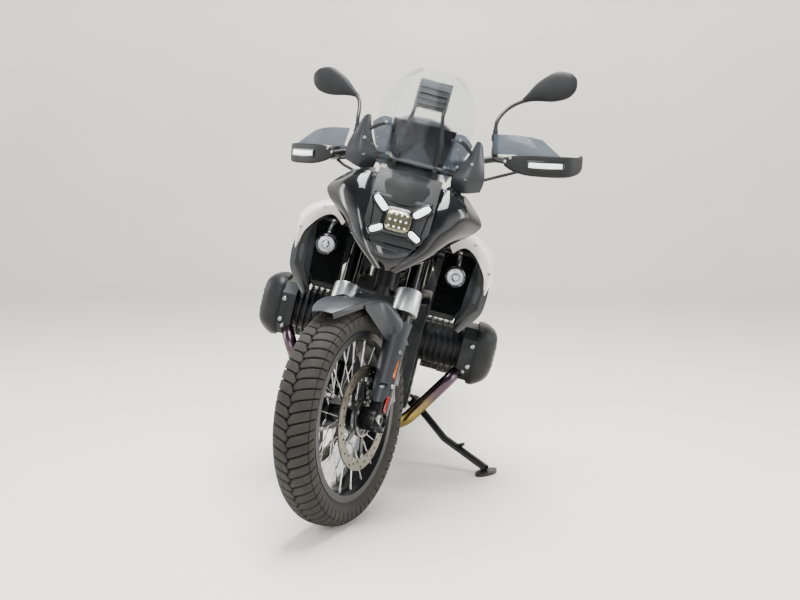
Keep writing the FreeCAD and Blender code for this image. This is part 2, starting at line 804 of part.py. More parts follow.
strip_out = strip_run.cross(UPWARD).normalize() * float(z.indicator_thickness / 2)
strip_rise = UPWARD * float(z.indicator_height / 2)
strip_face = [strip_start + strip_out - strip_rise, strip_end + strip_out - strip_rise,
              strip_end + strip_out + strip_rise, strip_start + strip_out + strip_rise]
indicator = closed_face(strip_face).extrude(strip_out * -2)
hand_guard = single(hand_guard.cut(indicator))
solid_node("hand_guards", "steering", hand_guard, mirrored(hand_guard))
solid_node("front_indicators", "steering", indicator, mirrored(indicator))

SHIELD_SHARES = ((0, 0.02), (0.35, 0.08), (0.9, 0.42), (0.9, 0.45), (0.35, 0.11), (0, 0.05))
SHIELD_TOP_SHARES = ((0.06, 0.1), (0.35, 0.16), (0.74, 0.42), (0.74, 0.45), (0.35, 0.19), (0.06, 0.13))
shield_low = plan_points(SHIELD_SHARES, z.hand_shield_inner, z.hand_guard_outer, bar_setback,
                         guard_rear, guard_high)
shield_top = plan_points(SHIELD_TOP_SHARES, z.hand_shield_inner, z.hand_guard_outer, bar_setback,
                         guard_rear, guard_high + z.hand_shield_height)
shield = skin(shield_low, shield_top)
solid_node("hand_shields", "steering", shield, mirrored(shield))

# Mirrors

MIRROR_STATION_SHARES = ((0, -0.04, 0.08, 0.3), (0.25, 0.3, 0.28, 0.8), (0.6, 0.5, 0.5, 1),
                         (0.88, 0.55, 0.4, 0.8), (1, 0.6, 0.2, 0.4))
MIRROR_RING_SHARES = ((0, 1), (0.8, 0.7), (1, 0), (0.8, -0.7), (0, -1), (-0.8, -0.7), (-1, 0), (-0.8, 0.7))
mirror_low = bar_height + z.mirror_rise
mirror_setback = bar_setback + z.mirror_sweep
mirror_stations = []
for along, rise, half_high, half_deep in MIRROR_STATION_SHARES:
    ring = [Vector(between(z.mirror_inner, z.mirror_outer, along),
                   mirror_setback + z.mirror_thickness / 2 * half_deep * a,
                   mirror_low + z.mirror_height * (rise + half_high * b)) for a, b in MIRROR_RING_SHARES]
    mirror_stations.append(ring)
mirror_head = skin(*mirror_stations)
mirror_foot = bar_path[2]
mirror_knee = mirror_foot + UPWARD * float(z.mirror_base_length) - ALONG_Y * float(z.mirror_base_radius)
mirror_neck = Vector(z.mirror_inner, mirror_setback, mirror_low + z.mirror_height * MIRROR_STATION_SHARES[0][1])
MIRROR_ELBOW_SHARE = 0.4
mirror_elbow = mirror_knee + (mirror_neck - mirror_knee) * MIRROR_ELBOW_SHARE
mirror_elbow = mirror_elbow - ALONG_Y * float(z.mirror_base_radius)
mirror_base = rod(mirror_foot, mirror_knee, z.mirror_base_radius)
mirror_stem = bent_tube([mirror_knee, mirror_elbow, mirror_neck + ALONG_X * float(z.mirror_base_radius)],
                        z.mirror_stem_radius, z.mirror_base_length)
mirror = single(joined(mirror_head, mirror_base, mirror_stem).cut(handlebar))
solid_node("mirrors", "steering", mirror, mirrored(mirror))

# Front mudguard, reflectors, calipers and hoses

GUARD_STEPS = 8
guard_inner_radius = float(z.front_tyre_radius + z.guard_clearance)


def guard_point(share, extra):
    """Point of the mudguard's arch at a share of its sweep; its tip lifts off the tyre."""
    angle = between(z.guard_rear_angle, z.guard_front_angle, share)
    lift = float(z.guard_tip_rise) * max(0, (angle - 90) / (float(z.guard_front_angle) - 90)) ** 2
    reach = guard_inner_radius + lift + float(extra)
    turn = math.radians(angle)
    return Vector(0, reach * math.cos(turn), FRONT_AXLE.z + reach * math.sin(turn))


arch_under = [guard_point(i / GUARD_STEPS, 0) for i in range(GUARD_STEPS + 1)]
arch_over = [guard_point(i / GUARD_STEPS, z.guard_thickness) for i in range(GUARD_STEPS + 1)]
plate_offset = z.fork_half_spacing - z.slider_radius - z.leg_cover_thickness - z.running_gap
arch = slab(arch_under + arch_over[::-1], -plate_offset, plate_offset)
LEG_PLATE_SHARES = ((-1.3, 0.30), (0.4, 0.42), (0.9, 0.98), (-1.9, 1.06), (-2.6, 0.94))
LEG_COVER_SHARES = ((-1.75, 0.22), (-1.1, 0.22), (-1.1, 0.97), (-1.75, 1.0))


def leg_point(back_share, rise_share, across=0):
    return in_yoke(across, z.slider_radius * back_share, z.slider_length * rise_share)


side_plate = slab([leg_point(a, b) for a, b in LEG_PLATE_SHARES], plate_offset,
                  plate_offset + z.leg_cover_thickness)
leg_cover = slab([leg_point(a, b) for a, b in LEG_COVER_SHARES], plate_offset,
                 z.fork_half_spacing + z.slider_radius)
leg_hole = rod(on_leg(-z.slider_foot_drop, z.fork_half_spacing), on_leg(z.slider_length, z.fork_half_spacing),
               z.slider_radius + z.running_gap)
cover = joined(side_plate, leg_cover)
collar_hole = rod(on_leg(collar_low - z.running_gap, z.fork_half_spacing),
                  on_leg(collar_low + z.collar_length, z.fork_half_spacing), z.collar_radius + z.running_gap)
front_guard = joined(arch, cover, mirrored(cover))
for space in (leg_hole, collar_hole):
    front_guard = front_guard.cut(space).cut(mirrored(space))
bridge_hole = closed_face(bridge_points).extrude(STEER_UP * float(z.bridge_thickness))
front_guard = single(front_guard.cut(bridge_hole))
solid_node("front_mudguard", "steering", front_guard)

REFLECTOR_RISE_SHARES = (0.52, 0.12)
reflectors = []
for share in REFLECTOR_RISE_SHARES:
    outer_face = z.fork_half_spacing + z.slider_radius + z.reflector_thickness
    place = on_leg(z.slider_length * share, z.fork_half_spacing + z.slider_radius / 2)
    button = Part.makeCylinder(z.reflector_radius, outer_face - place.x, place, ALONG_X)
    reflectors.append(single(button.cut(leg_hole).cut(clamp)))
solid_node("front_reflectors", "steering", *reflectors, *[mirrored(item) for item in reflectors])


CALIPER_STEPS = 4


def disc_caliper(radius_in, radius_out, disc_radius, start, end, half, offset):
    """Caliper round the edge of a disc, between two angles from straight behind the axle."""
    middle = offset + z.disc_thickness / 2
    low = middle - half
    rows = []
    for radius in (radius_out, radius_in):
        angles = [math.radians(between(start, end, i / CALIPER_STEPS)) for i in range(CALIPER_STEPS + 1)]
        rows.append([Vector(low, radius * math.cos(angle), radius * math.sin(angle)) for angle in angles])
    body = closed_face(rows[0] + rows[1][::-1]).extrude(ALONG_X * float(half * 2))
    slot = Part.makeCylinder(disc_radius + z.hub_flange_thickness, z.caliper_slot,
                             Vector(middle - z.caliper_slot / 2, 0, 0), ALONG_X)
    return single(body.cut(slot))


caliper = disc_caliper(z.caliper_inner_radius, z.caliper_outer_radius, z.front_disc_radius,
                       z.caliper_start_angle, z.caliper_end_angle, z.caliper_half_thickness, z.disc_offset)
caliper.translate(FRONT_AXLE)
caliper = single(caliper.cut(leg_hole))
CALIPER_LUG_SHARES = ((0.9, 0.38), (1.9, 0.38), (1.9, 0.50), (0.9, 0.50))
lug_out = z.disc_offset + z.disc_thickness / 2 + z.caliper_half_thickness
lug = slab([leg_point(a, b) for a, b in CALIPER_LUG_SHARES], lug_out - z.hub_flange_thickness,
           z.fork_half_spacing + z.slider_radius / 2)
caliper = single(joined(caliper, single(lug)).cut(leg_hole))
solid_node("front_calipers", "steering", caliper, mirrored(caliper))

hose_gap = z.collar_radius + z.brake_hose_radius + z.cut_overrun
HOSE_RISE_SHARE = 0.52
hose_low = z.slider_length * HOSE_RISE_SHARE
hose_points = [in_yoke(z.fork_half_spacing, hose_gap, hose_low),
               in_yoke(z.fork_half_spacing, hose_gap, stanchion_length + z.hub_radius),
               bar_path[2] + ALONG_X * float(z.hub_flange_radius) - UPWARD * float(z.hub_flange_radius),
               bar_tip - bar_run * float(z.grip_length + z.switch_length / 2) - UPWARD * float(z.switch_radius)]
hose = bent_tube(hose_points, z.brake_hose_radius, z.hub_flange_radius)
hose = single(hose.cut(switch_space).cut(caliper))
solid_node("brake_hoses", "steering", hose, mirrored(hose))

# Main frame: two side plates with a head casting in front and cross tubes behind

pivot_y = z.wheelbase - z.pivot_setback
plate_outer = z.frame_plate_inner + z.frame_plate_thickness
FRAME_FRONT_SHARES = ((0.2, 0.535), (0, 0.7), (0, 0.93), (0.02, 1), (0.1, 0.98), (0.22, 0.73))
FRAME_REAR_SHARES = ((0.7, 1), (0.88, 0.886), (1, 0.457), (1, 0.086), (0.94, 0), (0.86, 0), (0.82, 0.343),
                     (0.72, 0.764))
frame_rear = pivot_y + z.frame_rear_run
frame_rear_top = z.seat_height - z.seat_thickness - z.frame_seat_gap
frame_points = side_outline(FRAME_FRONT_SHARES, z.frame_front, frame_rear, z.frame_low, z.frame_top)
frame_points += side_outline(FRAME_REAR_SHARES, z.frame_front, frame_rear, z.frame_low, frame_rear_top)
frame_plate = slab(frame_points, z.frame_plate_inner, plate_outer)
PIVOT = Vector(0, pivot_y, z.pivot_height)
steer_top = STEER_FOOT + STEER_UP * (float(yoke_low) + (LEG_FOOT - STEER_FOOT).dot(STEER_UP))
HEAD_SHARES = ((-0.7, -1.6), (-0.7, -0.12), (3, -0.12), (3.9, 0.15), (4, -0.4), (2.3, -1.9), (1.3, -2.1))


def head_point(back_share, rise_share):
    return steer_top + STEER_BACK * (z.head_casting_half_width * back_share) + STEER_UP * (
        z.head_casting_half_width * rise_share)


head_casting = slab([head_point(a, b) for a, b in HEAD_SHARES], -z.head_casting_half_width,
                    z.head_casting_half_width)
CROSS_FRONT_SHARES = ((0.1, 0.86),)
CROSS_REAR_SHARES = ((0.62, 0.886),)
cross_places = side_outline(CROSS_FRONT_SHARES, z.frame_front, frame_rear, z.frame_low, z.frame_top)
cross_places += side_outline(CROSS_REAR_SHARES, z.frame_front, frame_rear, z.frame_low, frame_rear_top)
half_across = ALONG_X * float(plate_outer)
cross_tubes = [rod(place - half_across, place + half_across, z.pivot_radius / 2) for place in cross_places]
main_frame = joined(frame_plate, mirrored(frame_plate), head_casting, *cross_tubes)
pivot_hole = Part.makeCylinder(z.pivot_radius / 2 + z.running_gap, plate_outer * 3,
                               PIVOT - Vector(plate_outer * 1.5, 0, 0), ALONG_X)
main_frame = single(main_frame.cut(pivot_hole))
solid_node("main_frame", "root", main_frame)

# Flat twin engine: one block for the heavy closed mass, with its cylinders, heads and covers outside

ENGINE_SHARES = ((0, 0.12), (0, 0.78), (0.1, 0.96), (0.2, 1), (0.62, 1), (0.86, 0.8), (1, 0.5), (1, 0.16),
                 (0.86, 0), (0.1, 0))
engine_points = side_outline(ENGINE_SHARES, z.engine_front, z.engine_rear, z.engine_low, z.engine_high)
engine = slab(engine_points, -z.engine_half_width, z.engine_half_width)
crank_place = Vector(0, z.engine_front - z.engine_cover_depth, z.cylinder_height - z.barrel_radius)
crank_cover = Part.makeCylinder(z.engine_cover_radius, z.engine_cover_depth + z.cut_overrun, crank_place, ALONG_Y)
engine = joined(engine, crank_cover)
frame_space = slab(frame_points, z.frame_plate_inner - z.running_gap, plate_outer + z.running_gap)
engine = single(engine.cut(frame_space).cut(mirrored(frame_space)).cut(main_frame))
solid_node("engine_block", "root", engine)

CYLINDER_LINE = Vector(0, z.cylinder_setback, z.cylinder_height)
FIN_START_SHARE = 0.12
barrel_length = z.barrel_outer - z.engine_half_width
barrel_foot = CYLINDER_LINE + Vector(z.engine_half_width, 0, 0)
barrel = Part.makeCylinder(z.barrel_radius, barrel_length, barrel_foot, ALONG_X)
fins = []
fin_pitch = barrel_length * (1 - FIN_START_SHARE) / z.fin_count
for number in range(int(z.fin_count)):
    fin_foot = barrel_foot + ALONG_X * float(barrel_length * FIN_START_SHARE + fin_pitch * number)
    fins.append(Part.makeCylinder(z.fin_radius, z.fin_thickness, fin_foot, ALONG_X))
barrel = joined(barrel, *fins)
CYLINDER_HEAD_SHARES = ((0, 0.2), (0, 0.8), (0.15, 1), (0.85, 1), (1, 0.8), (1, 0.2), (0.85, 0), (0.15, 0))
head_front = z.cylinder_setback - z.head_length / 2
head_rear = z.cylinder_setback + z.head_length / 2
head_low = z.cylinder_height - z.head_height / 2
head_points = side_outline(CYLINDER_HEAD_SHARES, head_front, head_rear, head_low, head_low + z.head_height)
head = slab(head_points, z.barrel_outer, z.head_outer)
cylinder = joined(barrel, head)

HEAD_COVER_STATION_SHARES = ((0, 1, 0), (0.45, 1.04, 0), (0.8, 0.86, 0.02), (1, 0.56, 0.03))
head_cover_low = z.cylinder_height - z.head_cover_height / 2


def cover_ring(along, spread, shift):
    """Outline of the head cover at a share of its depth, shrunk about its middle."""
    points = side_outline(CYLINDER_HEAD_SHARES, head_front, head_rear, head_cover_low,
                          head_cover_low + z.head_cover_height)
    middle = Vector(0, z.cylinder_setback, z.cylinder_height + z.head_cover_height * shift)
    offset = Vector(between(z.head_outer, z.head_cover_outer, along), 0, 0)
    flat = Vector(0, z.cylinder_setback, z.cylinder_height)
    return [middle + (point - flat) * spread + offset for point in points]


head_cover = skin(*[cover_ring(*station) for station in HEAD_COVER_STATION_SHARES])
solid_node("cylinders", "root", cylinder, mirrored(cylinder))
solid_node("head_covers", "root", head_cover, mirrored(head_cover))

# Exhaust: two headers that bend down ahead of the engine, a collector below and a silencer on the right

pipe = z.header_radius
port = Vector(z.head_outer - pipe * 2, head_front - pipe * 0.6, head_low + pipe)
collector_front = z.collector_rear - z.collector_width
header_points = [port + ALONG_Y * float(pipe * 1.2),
                 Vector(port.x - pipe, z.engine_front + pipe * 1.6, port.z - pipe),
                 Vector(z.engine_half_width + pipe, z.engine_front + pipe * 0.4, z.engine_low + pipe * 2),
                 Vector(z.header_half_spacing + pipe, z.engine_front + pipe * 3, z.header_low),
                 Vector(z.header_half_spacing, z.engine_front + pipe * 8, z.header_low),
                 Vector(z.header_half_spacing, collector_front, z.header_low)]
header = bent_tube(header_points, pipe, pipe * 3)
header = single(header.cut(cylinder))
header = single(header.cut(engine))
collector_half = z.header_half_spacing + pipe
collector = Part.makeBox(collector_half * 2, z.collector_width, pipe * 2,
                         Vector(-collector_half, collector_front, z.header_low - pipe))
SILENCER_SHARES = ((0.2, 0), (0.8, 0), (1, 0.25), (1, 0.75), (0.8, 1), (0.2, 1), (0, 0.75), (0, 0.25))


def silencer_ring(along, spread):
    """Section of the silencer at a share of its length."""
    back = between(z.silencer_front, z.silencer_rear, along)
    rise = between(z.silencer_height - z.silencer_rise / 2, z.silencer_height + z.silencer_rise / 2, along)
    return [Vector(-z.silencer_centre + z.silencer_width * spread * (a - 0.5), back,
                   rise + z.silencer_depth * spread * (b - 0.5)) for a, b in SILENCER_SHARES]


SILENCER_STATION_SHARES = ((0, 0.5), (0.16, 1), (0.9, 1), (1, 0.7))
silencer = skin(*[silencer_ring(*station) for station in SILENCER_STATION_SHARES])
link_points = [Vector(-z.header_half_spacing, z.collector_rear - pipe, z.header_low),
               Vector(-z.header_half_spacing, z.collector_rear + pipe * 3, z.header_low),
               Vector(-z.silencer_centre, z.silencer_front - pipe * 4, z.silencer_height - z.silencer_rise * 0.62),
               Vector(-z.silencer_centre, z.silencer_front + pipe, z.silencer_height - z.silencer_rise / 2)]
link = bent_tube(link_points, pipe, pipe * 3)
silencer = single(joined(silencer, link).cut(collector))
exhaust = joined(collector, header, mirrored(header))
solid_node("exhaust_headers", "root", exhaust)
solid_node("silencer", "root", silencer)

SKID_FLOOR_SHARE = 0.06
SKID_SHARES = ((0, 0.62), (0.03, 0.66), (0.12, SKID_FLOOR_SHARE), (1, SKID_FLOOR_SHARE), (1, 0), (0.11, 0))
SKID_POST_SHARES = (0.3, 0.62)
skid_high = z.skid_low + z.skid_thickness / SKID_FLOOR_SHARE
skid_points = side_outline(SKID_SHARES, z.skid_front, z.skid_rear, z.skid_low, skid_high)
skid_plate = slab(skid_points, -z.skid_half_width, z.skid_half_width)
skid_posts = []
for share in SKID_POST_SHARES:
    y = between(z.skid_front, z.skid_rear, share)
    top = Vector(z.engine_half_width - z.header_radius, y, z.engine_low)
    foot = Vector(z.engine_half_width - z.header_radius, y, z.skid_low + z.skid_thickness / 2)
    skid_posts.append(rod(foot, top, z.axle_bore_radius))
skid_plate = joined(skid_plate, *skid_posts, *[mirrored(post) for post in skid_posts])
skid_plate = single(skid_plate.cut(exhaust))
solid_node("skid_plate", "root", skid_plate)

# Single sided swingarm with the bevel drive at its end, torque strut, shock and brake

ARM_SHARES = ((-0.08, 0.5), (0.02, 1), (0.35, 1), (0.8, 0.72), (1, 0.75), (1, -0.2), (0.8, -0.25), (0.3, -0.1),
              (0, 0))
arm_points = []
for along, rise in ARM_SHARES:
    low_line = PIVOT + (REAR_AXLE - PIVOT) * along
    arm_points.append(low_line + UPWARD * float(z.arm_height * (rise - 0.5)))
arm = slab(arm_points, z.arm_inner + z.frame_plate_thickness + z.running_gap, z.arm_outer)
pivot_rod = Part.makeCylinder(z.pivot_radius / 2, z.arm_outer * 2, PIVOT - Vector(z.arm_outer, 0, 0), ALONG_X)
drive = rod(REAR_AXLE + ALONG_X * float(z.drive_inner), REAR_AXLE + ALONG_X * float(z.drive_outer), z.drive_radius)
flange_foot = REAR_AXLE + ALONG_X * float(z.disc_offset + z.disc_thickness + z.running_gap)
flange = Part.makeCylinder(z.disc_seat_radius * 0.75, z.drive_inner, flange_foot, ALONG_X)
axle_way = Part.makeCylinder(rear_bore, z.drive_outer * 2, REAR_AXLE, ALONG_X)
swingarm = joined(arm, drive, flange, pivot_rod).cut(axle_way)
ARM_BLOCK_SHARES = ((-1, -1), (-1, 1.4), (2.6, 1.4), (2.6, -0.8))
arm_block_points = [PIVOT + Vector(0, z.pivot_radius * a, z.pivot_radius * b) for a, b in ARM_BLOCK_SHARES]
arm_block_half = z.frame_plate_inner - z.cut_overrun
arm_block = slab(arm_block_points, -arm_block_half, arm_block_half)
bridge_place = PIVOT + Vector(0, z.frame_rear_run + z.pivot_radius * 0.6, -z.pivot_radius / 2)
bridge_bar = Part.makeBox(z.arm_outer - z.pivot_radius, z.pivot_radius, z.pivot_radius, bridge_place)
swingarm = single(joined(single(swingarm), single(arm_block.cut(pivot_hole)), bridge_bar))

strut_front = Vector(plate_outer + z.torque_strut_radius, frame_rear - z.pivot_radius, z.frame_low)
strut_rear = REAR_AXLE + Vector(z.drive_outer - z.torque_strut_radius * 3, -z.drive_radius * 0.2, -z.drive_radius)
torque_strut = rod(strut_front, strut_rear, z.torque_strut_radius)
swingarm = joined(swingarm, torque_strut)
swingarm = single(swingarm.cut(main_frame))
solid_node("swingarm", "root", swingarm)

shock_low = PIVOT + Vector(0, z.pivot_radius * 2.2, z.pivot_radius * 1.4)
shock_top = cross_places[1]
shock_run = (shock_top - shock_low).normalize()
shock_top = shock_top - shock_run * float(z.pivot_radius / 2)
shock = rod(shock_low, shock_top, z.shock_radius)
coils = []
spring_span = shock_top - shock_low
for number in range(int(z.spring_turns)):
    centre = shock_low + spring_span * ((number + 1) / (float(z.spring_turns) + 1))
    coils.append(Part.makeTorus(z.spring_radius - z.spring_wire, z.spring_wire, centre, shock_run))
spring_foot = shock_low + shock_run * float(z.spring_wire * 2)
spring_head = shock_top - shock_run * float(z.spring_wire * 3)
spring_core = rod(spring_foot, spring_head, z.spring_radius - z.spring_wire)
shock_room = rod(spring_foot, shock_top, z.spring_radius + z.cover_gap)
rear_shock = joined(shock, spring_core, *coils)
rear_shock = single(rear_shock.cut(swingarm).cut(main_frame))
solid_node("rear_shock", "root", rear_shock)

rear_caliper = disc_caliper(z.caliper_inner_radius, z.caliper_outer_radius - z.disc_thickness * 3,
                            z.rear_disc_radius, z.rear_caliper_start_angle, z.rear_caliper_end_angle,
                            z.rear_caliper_half_thickness, z.disc_offset)
rear_caliper.translate(REAR_AXLE)
CALIPER_FOOT_SHARES = ((0.85, 0.865), (0.85, 0.216), (1.5, 0.27), (1.5, 0.811))
foot_points = []
for reach, along in CALIPER_FOOT_SHARES:
    turn = math.radians(between(z.rear_caliper_start_angle, z.rear_caliper_end_angle, along))
    foot_points.append(REAR_AXLE + Vector(0, math.cos(turn), math.sin(turn)) * (z.drive_radius * reach))
caliper_side = z.disc_offset + z.disc_thickness / 2 + z.rear_caliper_half_thickness
caliper_foot = slab(foot_points, caliper_side - z.cut_overrun, caliper_side + z.hanger_thickness)
rear_caliper = single(joined(rear_caliper, caliper_foot).cut(swingarm))
solid_node("rear_caliper", "root", rear_caliper)

# Front wishbone and shock that carry the fork's bridge

wish_radius = z.axle_nut_radius * 0.8
ball_rise = (LEG_FOOT - STEER_FOOT).dot(STEER_UP) + bridge_mid + z.bridge_thickness / 2 + wish_radius + z.cut_overrun
ball = STEER_FOOT + STEER_UP * float(ball_rise)
wish_foot = Vector(z.frame_plate_inner - z.axle_bore_radius, z.engine_front + z.engine_cover_depth,
                   z.engine_high - z.barrel_radius)
wish_arm = rod(ball, wish_foot, wish_radius)
ball_cup = Part.makeCylinder(z.axle_nut_radius, z.axle_nut_radius * 2,
                             ball - STEER_UP * float(wish_radius + z.cut_overrun - z.running_gap), STEER_UP)
wishbone = single(joined(wish_arm, mirrored(wish_arm), ball_cup).cut(engine))
FRONT_SHOCK_FOOT_SHARE = 0.45
front_shock_low = ball + (Vector(0, wish_foot.y, wish_foot.z) - ball) * FRONT_SHOCK_FOOT_SHARE
front_shock_top = head_point(2.0, -1.6)
front_shock_run = (front_shock_top - front_shock_low).normalize()
front_shock = rod(front_shock_low, front_shock_top, z.shock_radius * 0.7)
front_spring = rod(front_shock_low + front_shock_run * float(z.shock_radius * 1.6),
                   front_shock_top - front_shock_run * float(z.shock_radius * 1.6), z.spring_radius * 0.8)
link_half = ALONG_X * float(z.frame_plate_inner / 2)
cross_link = rod(front_shock_low - link_half, front_shock_low + link_half, z.axle_bore_radius)
front_suspension = single(joined(wishbone, front_shock, front_spring, cross_link).cut(main_frame))
solid_node("front_suspension", "root", front_suspension)

# Room that the fork's legs and top yoke need when they turn
yoke_reach = math.hypot(z.fork_half_spacing + eye, steer_offset)
turn_low = STEER_UP.dot(LEG_FOOT - STEER_FOOT) + float(z.slider_length)
turn_high = STEER_UP.dot(LEG_FOOT - STEER_FOOT) + float(stanchion_length)
turn_room = rod(STEER_FOOT + STEER_UP * turn_low, STEER_FOOT + STEER_UP * (turn_high + float(z.turn_clearance)),
                yoke_reach + z.turn_clearance)

# Fuel tank cover with its filler flap

TANK_STATION_SHARES = ((0, 0.5, 0.16, 0.86), (0.16, 0.82, 0.06, 0.95), (0.36, 1, 0, 1), (0.7, 0.82, 0, 0.78),
                       (1, 0.5, 0, 0.2))
TANK_RING_SHARES = ((-0.6, 1), (0.6, 1), (0.9, 0.82), (1, 0.45), (0.88, 0), (-0.88, 0), (-1, 0.45), (-0.9, 0.82))
tank_rings = []
for along, half_share, low_share, high_share in TANK_STATION_SHARES:
    low = between(z.tank_low, z.tank_high, low_share)
    high = between(z.tank_low, z.tank_high, high_share)
    tank_rings.append([Vector(z.tank_half_width * half_share * a, between(z.tank_front, z.tank_rear, along),
                              between(low, high, b)) for a, b in TANK_RING_SHARES])
COVER_STATION_SHARES = ((0, 0.07, 1, 0, 1), (0.41, 0.02, 0.73, 0.16, 0.98), (0.756, 0, 0.43, 0.35, 0.9),
                        (1, -0.08, 0.12, 0.49, 0.78))
COVER_RING_SHARES = ((0.1, 1), (0.65, 0.9), (0.97, 0.59), (1, 0.27), (0.8, 0.02), (0.45, 0), (0.15, 0.27),
                     (0, 0.75))
cover_inner = plate_outer + z.cover_gap
cover_outer = z.cowl_outer - z.cover_step
cover_front = z.cowl_rear + z.cover_gap / 2
cover_rings = []
for along, inner_share, outer_share, low_share, high_share in COVER_STATION_SHARES:
    inner = between(cover_inner, cover_outer, inner_share)
    outer = between(cover_inner, cover_outer, outer_share)
    low = between(z.cover_low, z.cowl_high, low_share)
    high = between(z.cover_low, z.cowl_high, high_share)
    back = between(cover_front, z.tank_rear, along)
    cover_rings.append([Vector(between(inner, outer, a), back, between(low, high, b)) for a, b in COVER_RING_SHARES])
tank_cover = skin(*cover_rings)
tank = joined(skin(*tank_rings), tank_cover, mirrored(tank_cover))
FILLER = Vector(0, z.filler_setback, z.tank_high - z.filler_thickness)
filler_room = Part.makeCylinder(z.filler_radius + z.rim_lip_height, z.tank_high - z.tank_low, FILLER, UPWARD)
tank = single(tank.cut(filler_room).cut(main_frame).cut(shock_room))
solid_node("fuel_tank", "root", tank)
filler_lid = Part.makeCylinder(z.filler_radius, z.filler_thickness, FILLER + UPWARD * float(z.running_gap), UPWARD)
filler_hinge = Part.makeCylinder(z.filler_thickness / 2, z.filler_radius, FILLER + Vector(
    -z.filler_radius / 2, -z.filler_radius - z.filler_thickness / 4, z.filler_thickness / 2 + z.running_gap), ALONG_X)
filler_cap = joined(filler_lid, filler_hinge)
solid_node("filler_flap", "filler_cap", filler_cap)

# Nose, headlamp and lit bars

NOSE_SHARES = ((0.05, 0), (0, 0.12), (0.1, 0.42), (0.3, 0.72), (0.52, 0.92), (0.68, 1), (0.8, 0.96), (0.72, 0.62),
               (0.5, 0.36), (0.42, 0.1))
nose_points = side_outline(NOSE_SHARES, z.nose_front, z.nose_rear, z.nose_low, z.nose_high)
nose = slab(nose_points, -z.nose_half_width, z.nose_half_width)
LAMP_SHARES = ((-1, 1), (1, 1), (0.82, 0), (-0.82, 0))
view_front = z.nose_front - z.cut_overrun
lamp_view = [Vector(z.lamp_half_width * a, view_front, between(z.lamp_low, z.lamp_high, b)) for a, b in LAMP_SHARES]
lamp_recess = closed_face(lamp_view).extrude(Vector(0, z.lamp_front + z.lens_depth * 2.5 - z.nose_front, 0))
NOSE_WIDTH_SHARES = ((-0.22, 0), (0.22, 0), (1, 0.45), (1, 1), (-1, 1), (-1, 0.45))
nose_front_view = [Vector(z.nose_half_width * a, view_front, between(z.nose_low, z.nose_high, b))
                   for a, b in NOSE_WIDTH_SHARES]
nose_block = closed_face(nose_front_view).extrude(Vector(0, z.nose_rear - z.nose_front + z.cut_overrun * 2, 0))
nose = single(nose.common(nose_block))
lamp = single(nose.common(lamp_recess))
nose = single(nose.cut(lamp_recess))
solid_node("nose_cover", "root", nose)
LENS_RISE_SHARE = 0.48
LENS_PLACE = Vector(0, z.lamp_front, between(z.lamp_low, z.lamp_high, LENS_RISE_SHARE))
lens = Part.makeBox(z.lens_radius * 2, z.lens_depth * 4, z.lens_radius * 1.7,
                    LENS_PLACE - Vector(z.lens_radius, z.lens_depth, z.lens_radius * 0.85))
LIGHT_BAR_SHARES = (((0.46, 0.68), (0.96, 0.9)), ((0.42, 0.3), (0.84, 0.14)))
light_bars = []
for start, end in LIGHT_BAR_SHARES:
    a = Vector(z.lamp_half_width * start[0], 0, between(z.lamp_low, z.lamp_high, start[1]))
    b = Vector(z.lamp_half_width * end[0], 0, between(z.lamp_low, z.lamp_high, end[1]))
    across = (b - a).cross(ALONG_Y).normalize() * float(z.light_bar_width / 2)
    face = closed_face([a + across, b + across, b - across, a - across])
    bar = face.extrude(Vector(0, z.nose_rear, 0))
    light_bars += [bar, mirrored(bar)]
lamp_skin = lamp.copy()
lamp_skin.translate(Vector(0, z.light_bar_thickness, 0))
lit = [single(lamp.common(bar).cut(lamp_skin).cut(lens)) for bar in light_bars]
lens_piece = single(lamp.common(lens).cut(lamp_skin))
for piece in lit + [lens_piece]:
    lamp = lamp.cut(piece)
solid_node("headlamp_housing", "root", single(lamp))
solid_node("headlamp_lens", "root", lens_piece)
solid_node("light_bars", "root", *lit)

# Side panels of the nose, from the foot of the screen down to the tip below the lamp

SIDE_PANEL_STATION_SHARES = (
    (0.02, ((0.06, 0.1), (0.16, 0.1), (0.2, 0.26), (0.06, 0.26))),
    (0.3, ((0.42, 0.16), (0.56, 0.2), (0.66, 0.5), (0.48, 0.5))),
    (0.66, ((0.5, 0.3), (0.86, 0.46), (0.98, 0.86), (0.52, 0.86))),
    (0.82, ((0.52, 0.42), (0.92, 0.56), (1, 0.96), (0.54, 0.96))),
    (0.97, ((0.54, 0.62), (0.72, 0.66), (0.74, 0.98), (0.55, 0.98))))
panel_rings = []
for rise, corners in SIDE_PANEL_STATION_SHARES:
    panel_rings.append([Vector(z.side_panel_outer * a, between(z.nose_front, z.side_panel_rear, b),
                               between(z.nose_low, z.nose_high, rise)) for a, b in corners])
side_panel = skin(*panel_rings)
side_panel = single(side_panel.cut(nose_block).cut(turn_room))

# Radiators, their cowls, white panels and fog lamps

RADIATOR_SHARES = ((0, 0), (0.7, 0), (1, 0.35), (1, 0.9), (0.8, 1), (0.1, 1))
radiator_points = [Vector(between(z.radiator_inner, z.radiator_outer, a), z.radiator_front,
                          between(z.radiator_low, z.radiator_high, b)) for a, b in RADIATOR_SHARES]
radiator = closed_face(radiator_points).extrude(Vector(0, z.radiator_thickness, 0))

COWL_FRONT_SHARES = ((0.12, 0.93), (0.36, 1), (0.93, 0.79), (1, 0.47), (1, 0.26), (0.57, 0), (0.42, 0.02),
                     (0.62, 0.3), (0.66, 0.58), (0.6, 0.7), (0.3, 0.84), (0.1, 0.84))
COWL_REAR_SHARES = ((0.2, 1), (0.5, 1), (0.9, 0.86), (0.97, 0.6), (0.95, 0.4), (0.72, 0.27), (0.6, 0.3),
                    (0.82, 0.44), (0.84, 0.6), (0.78, 0.78), (0.46, 0.92), (0.2, 0.92))


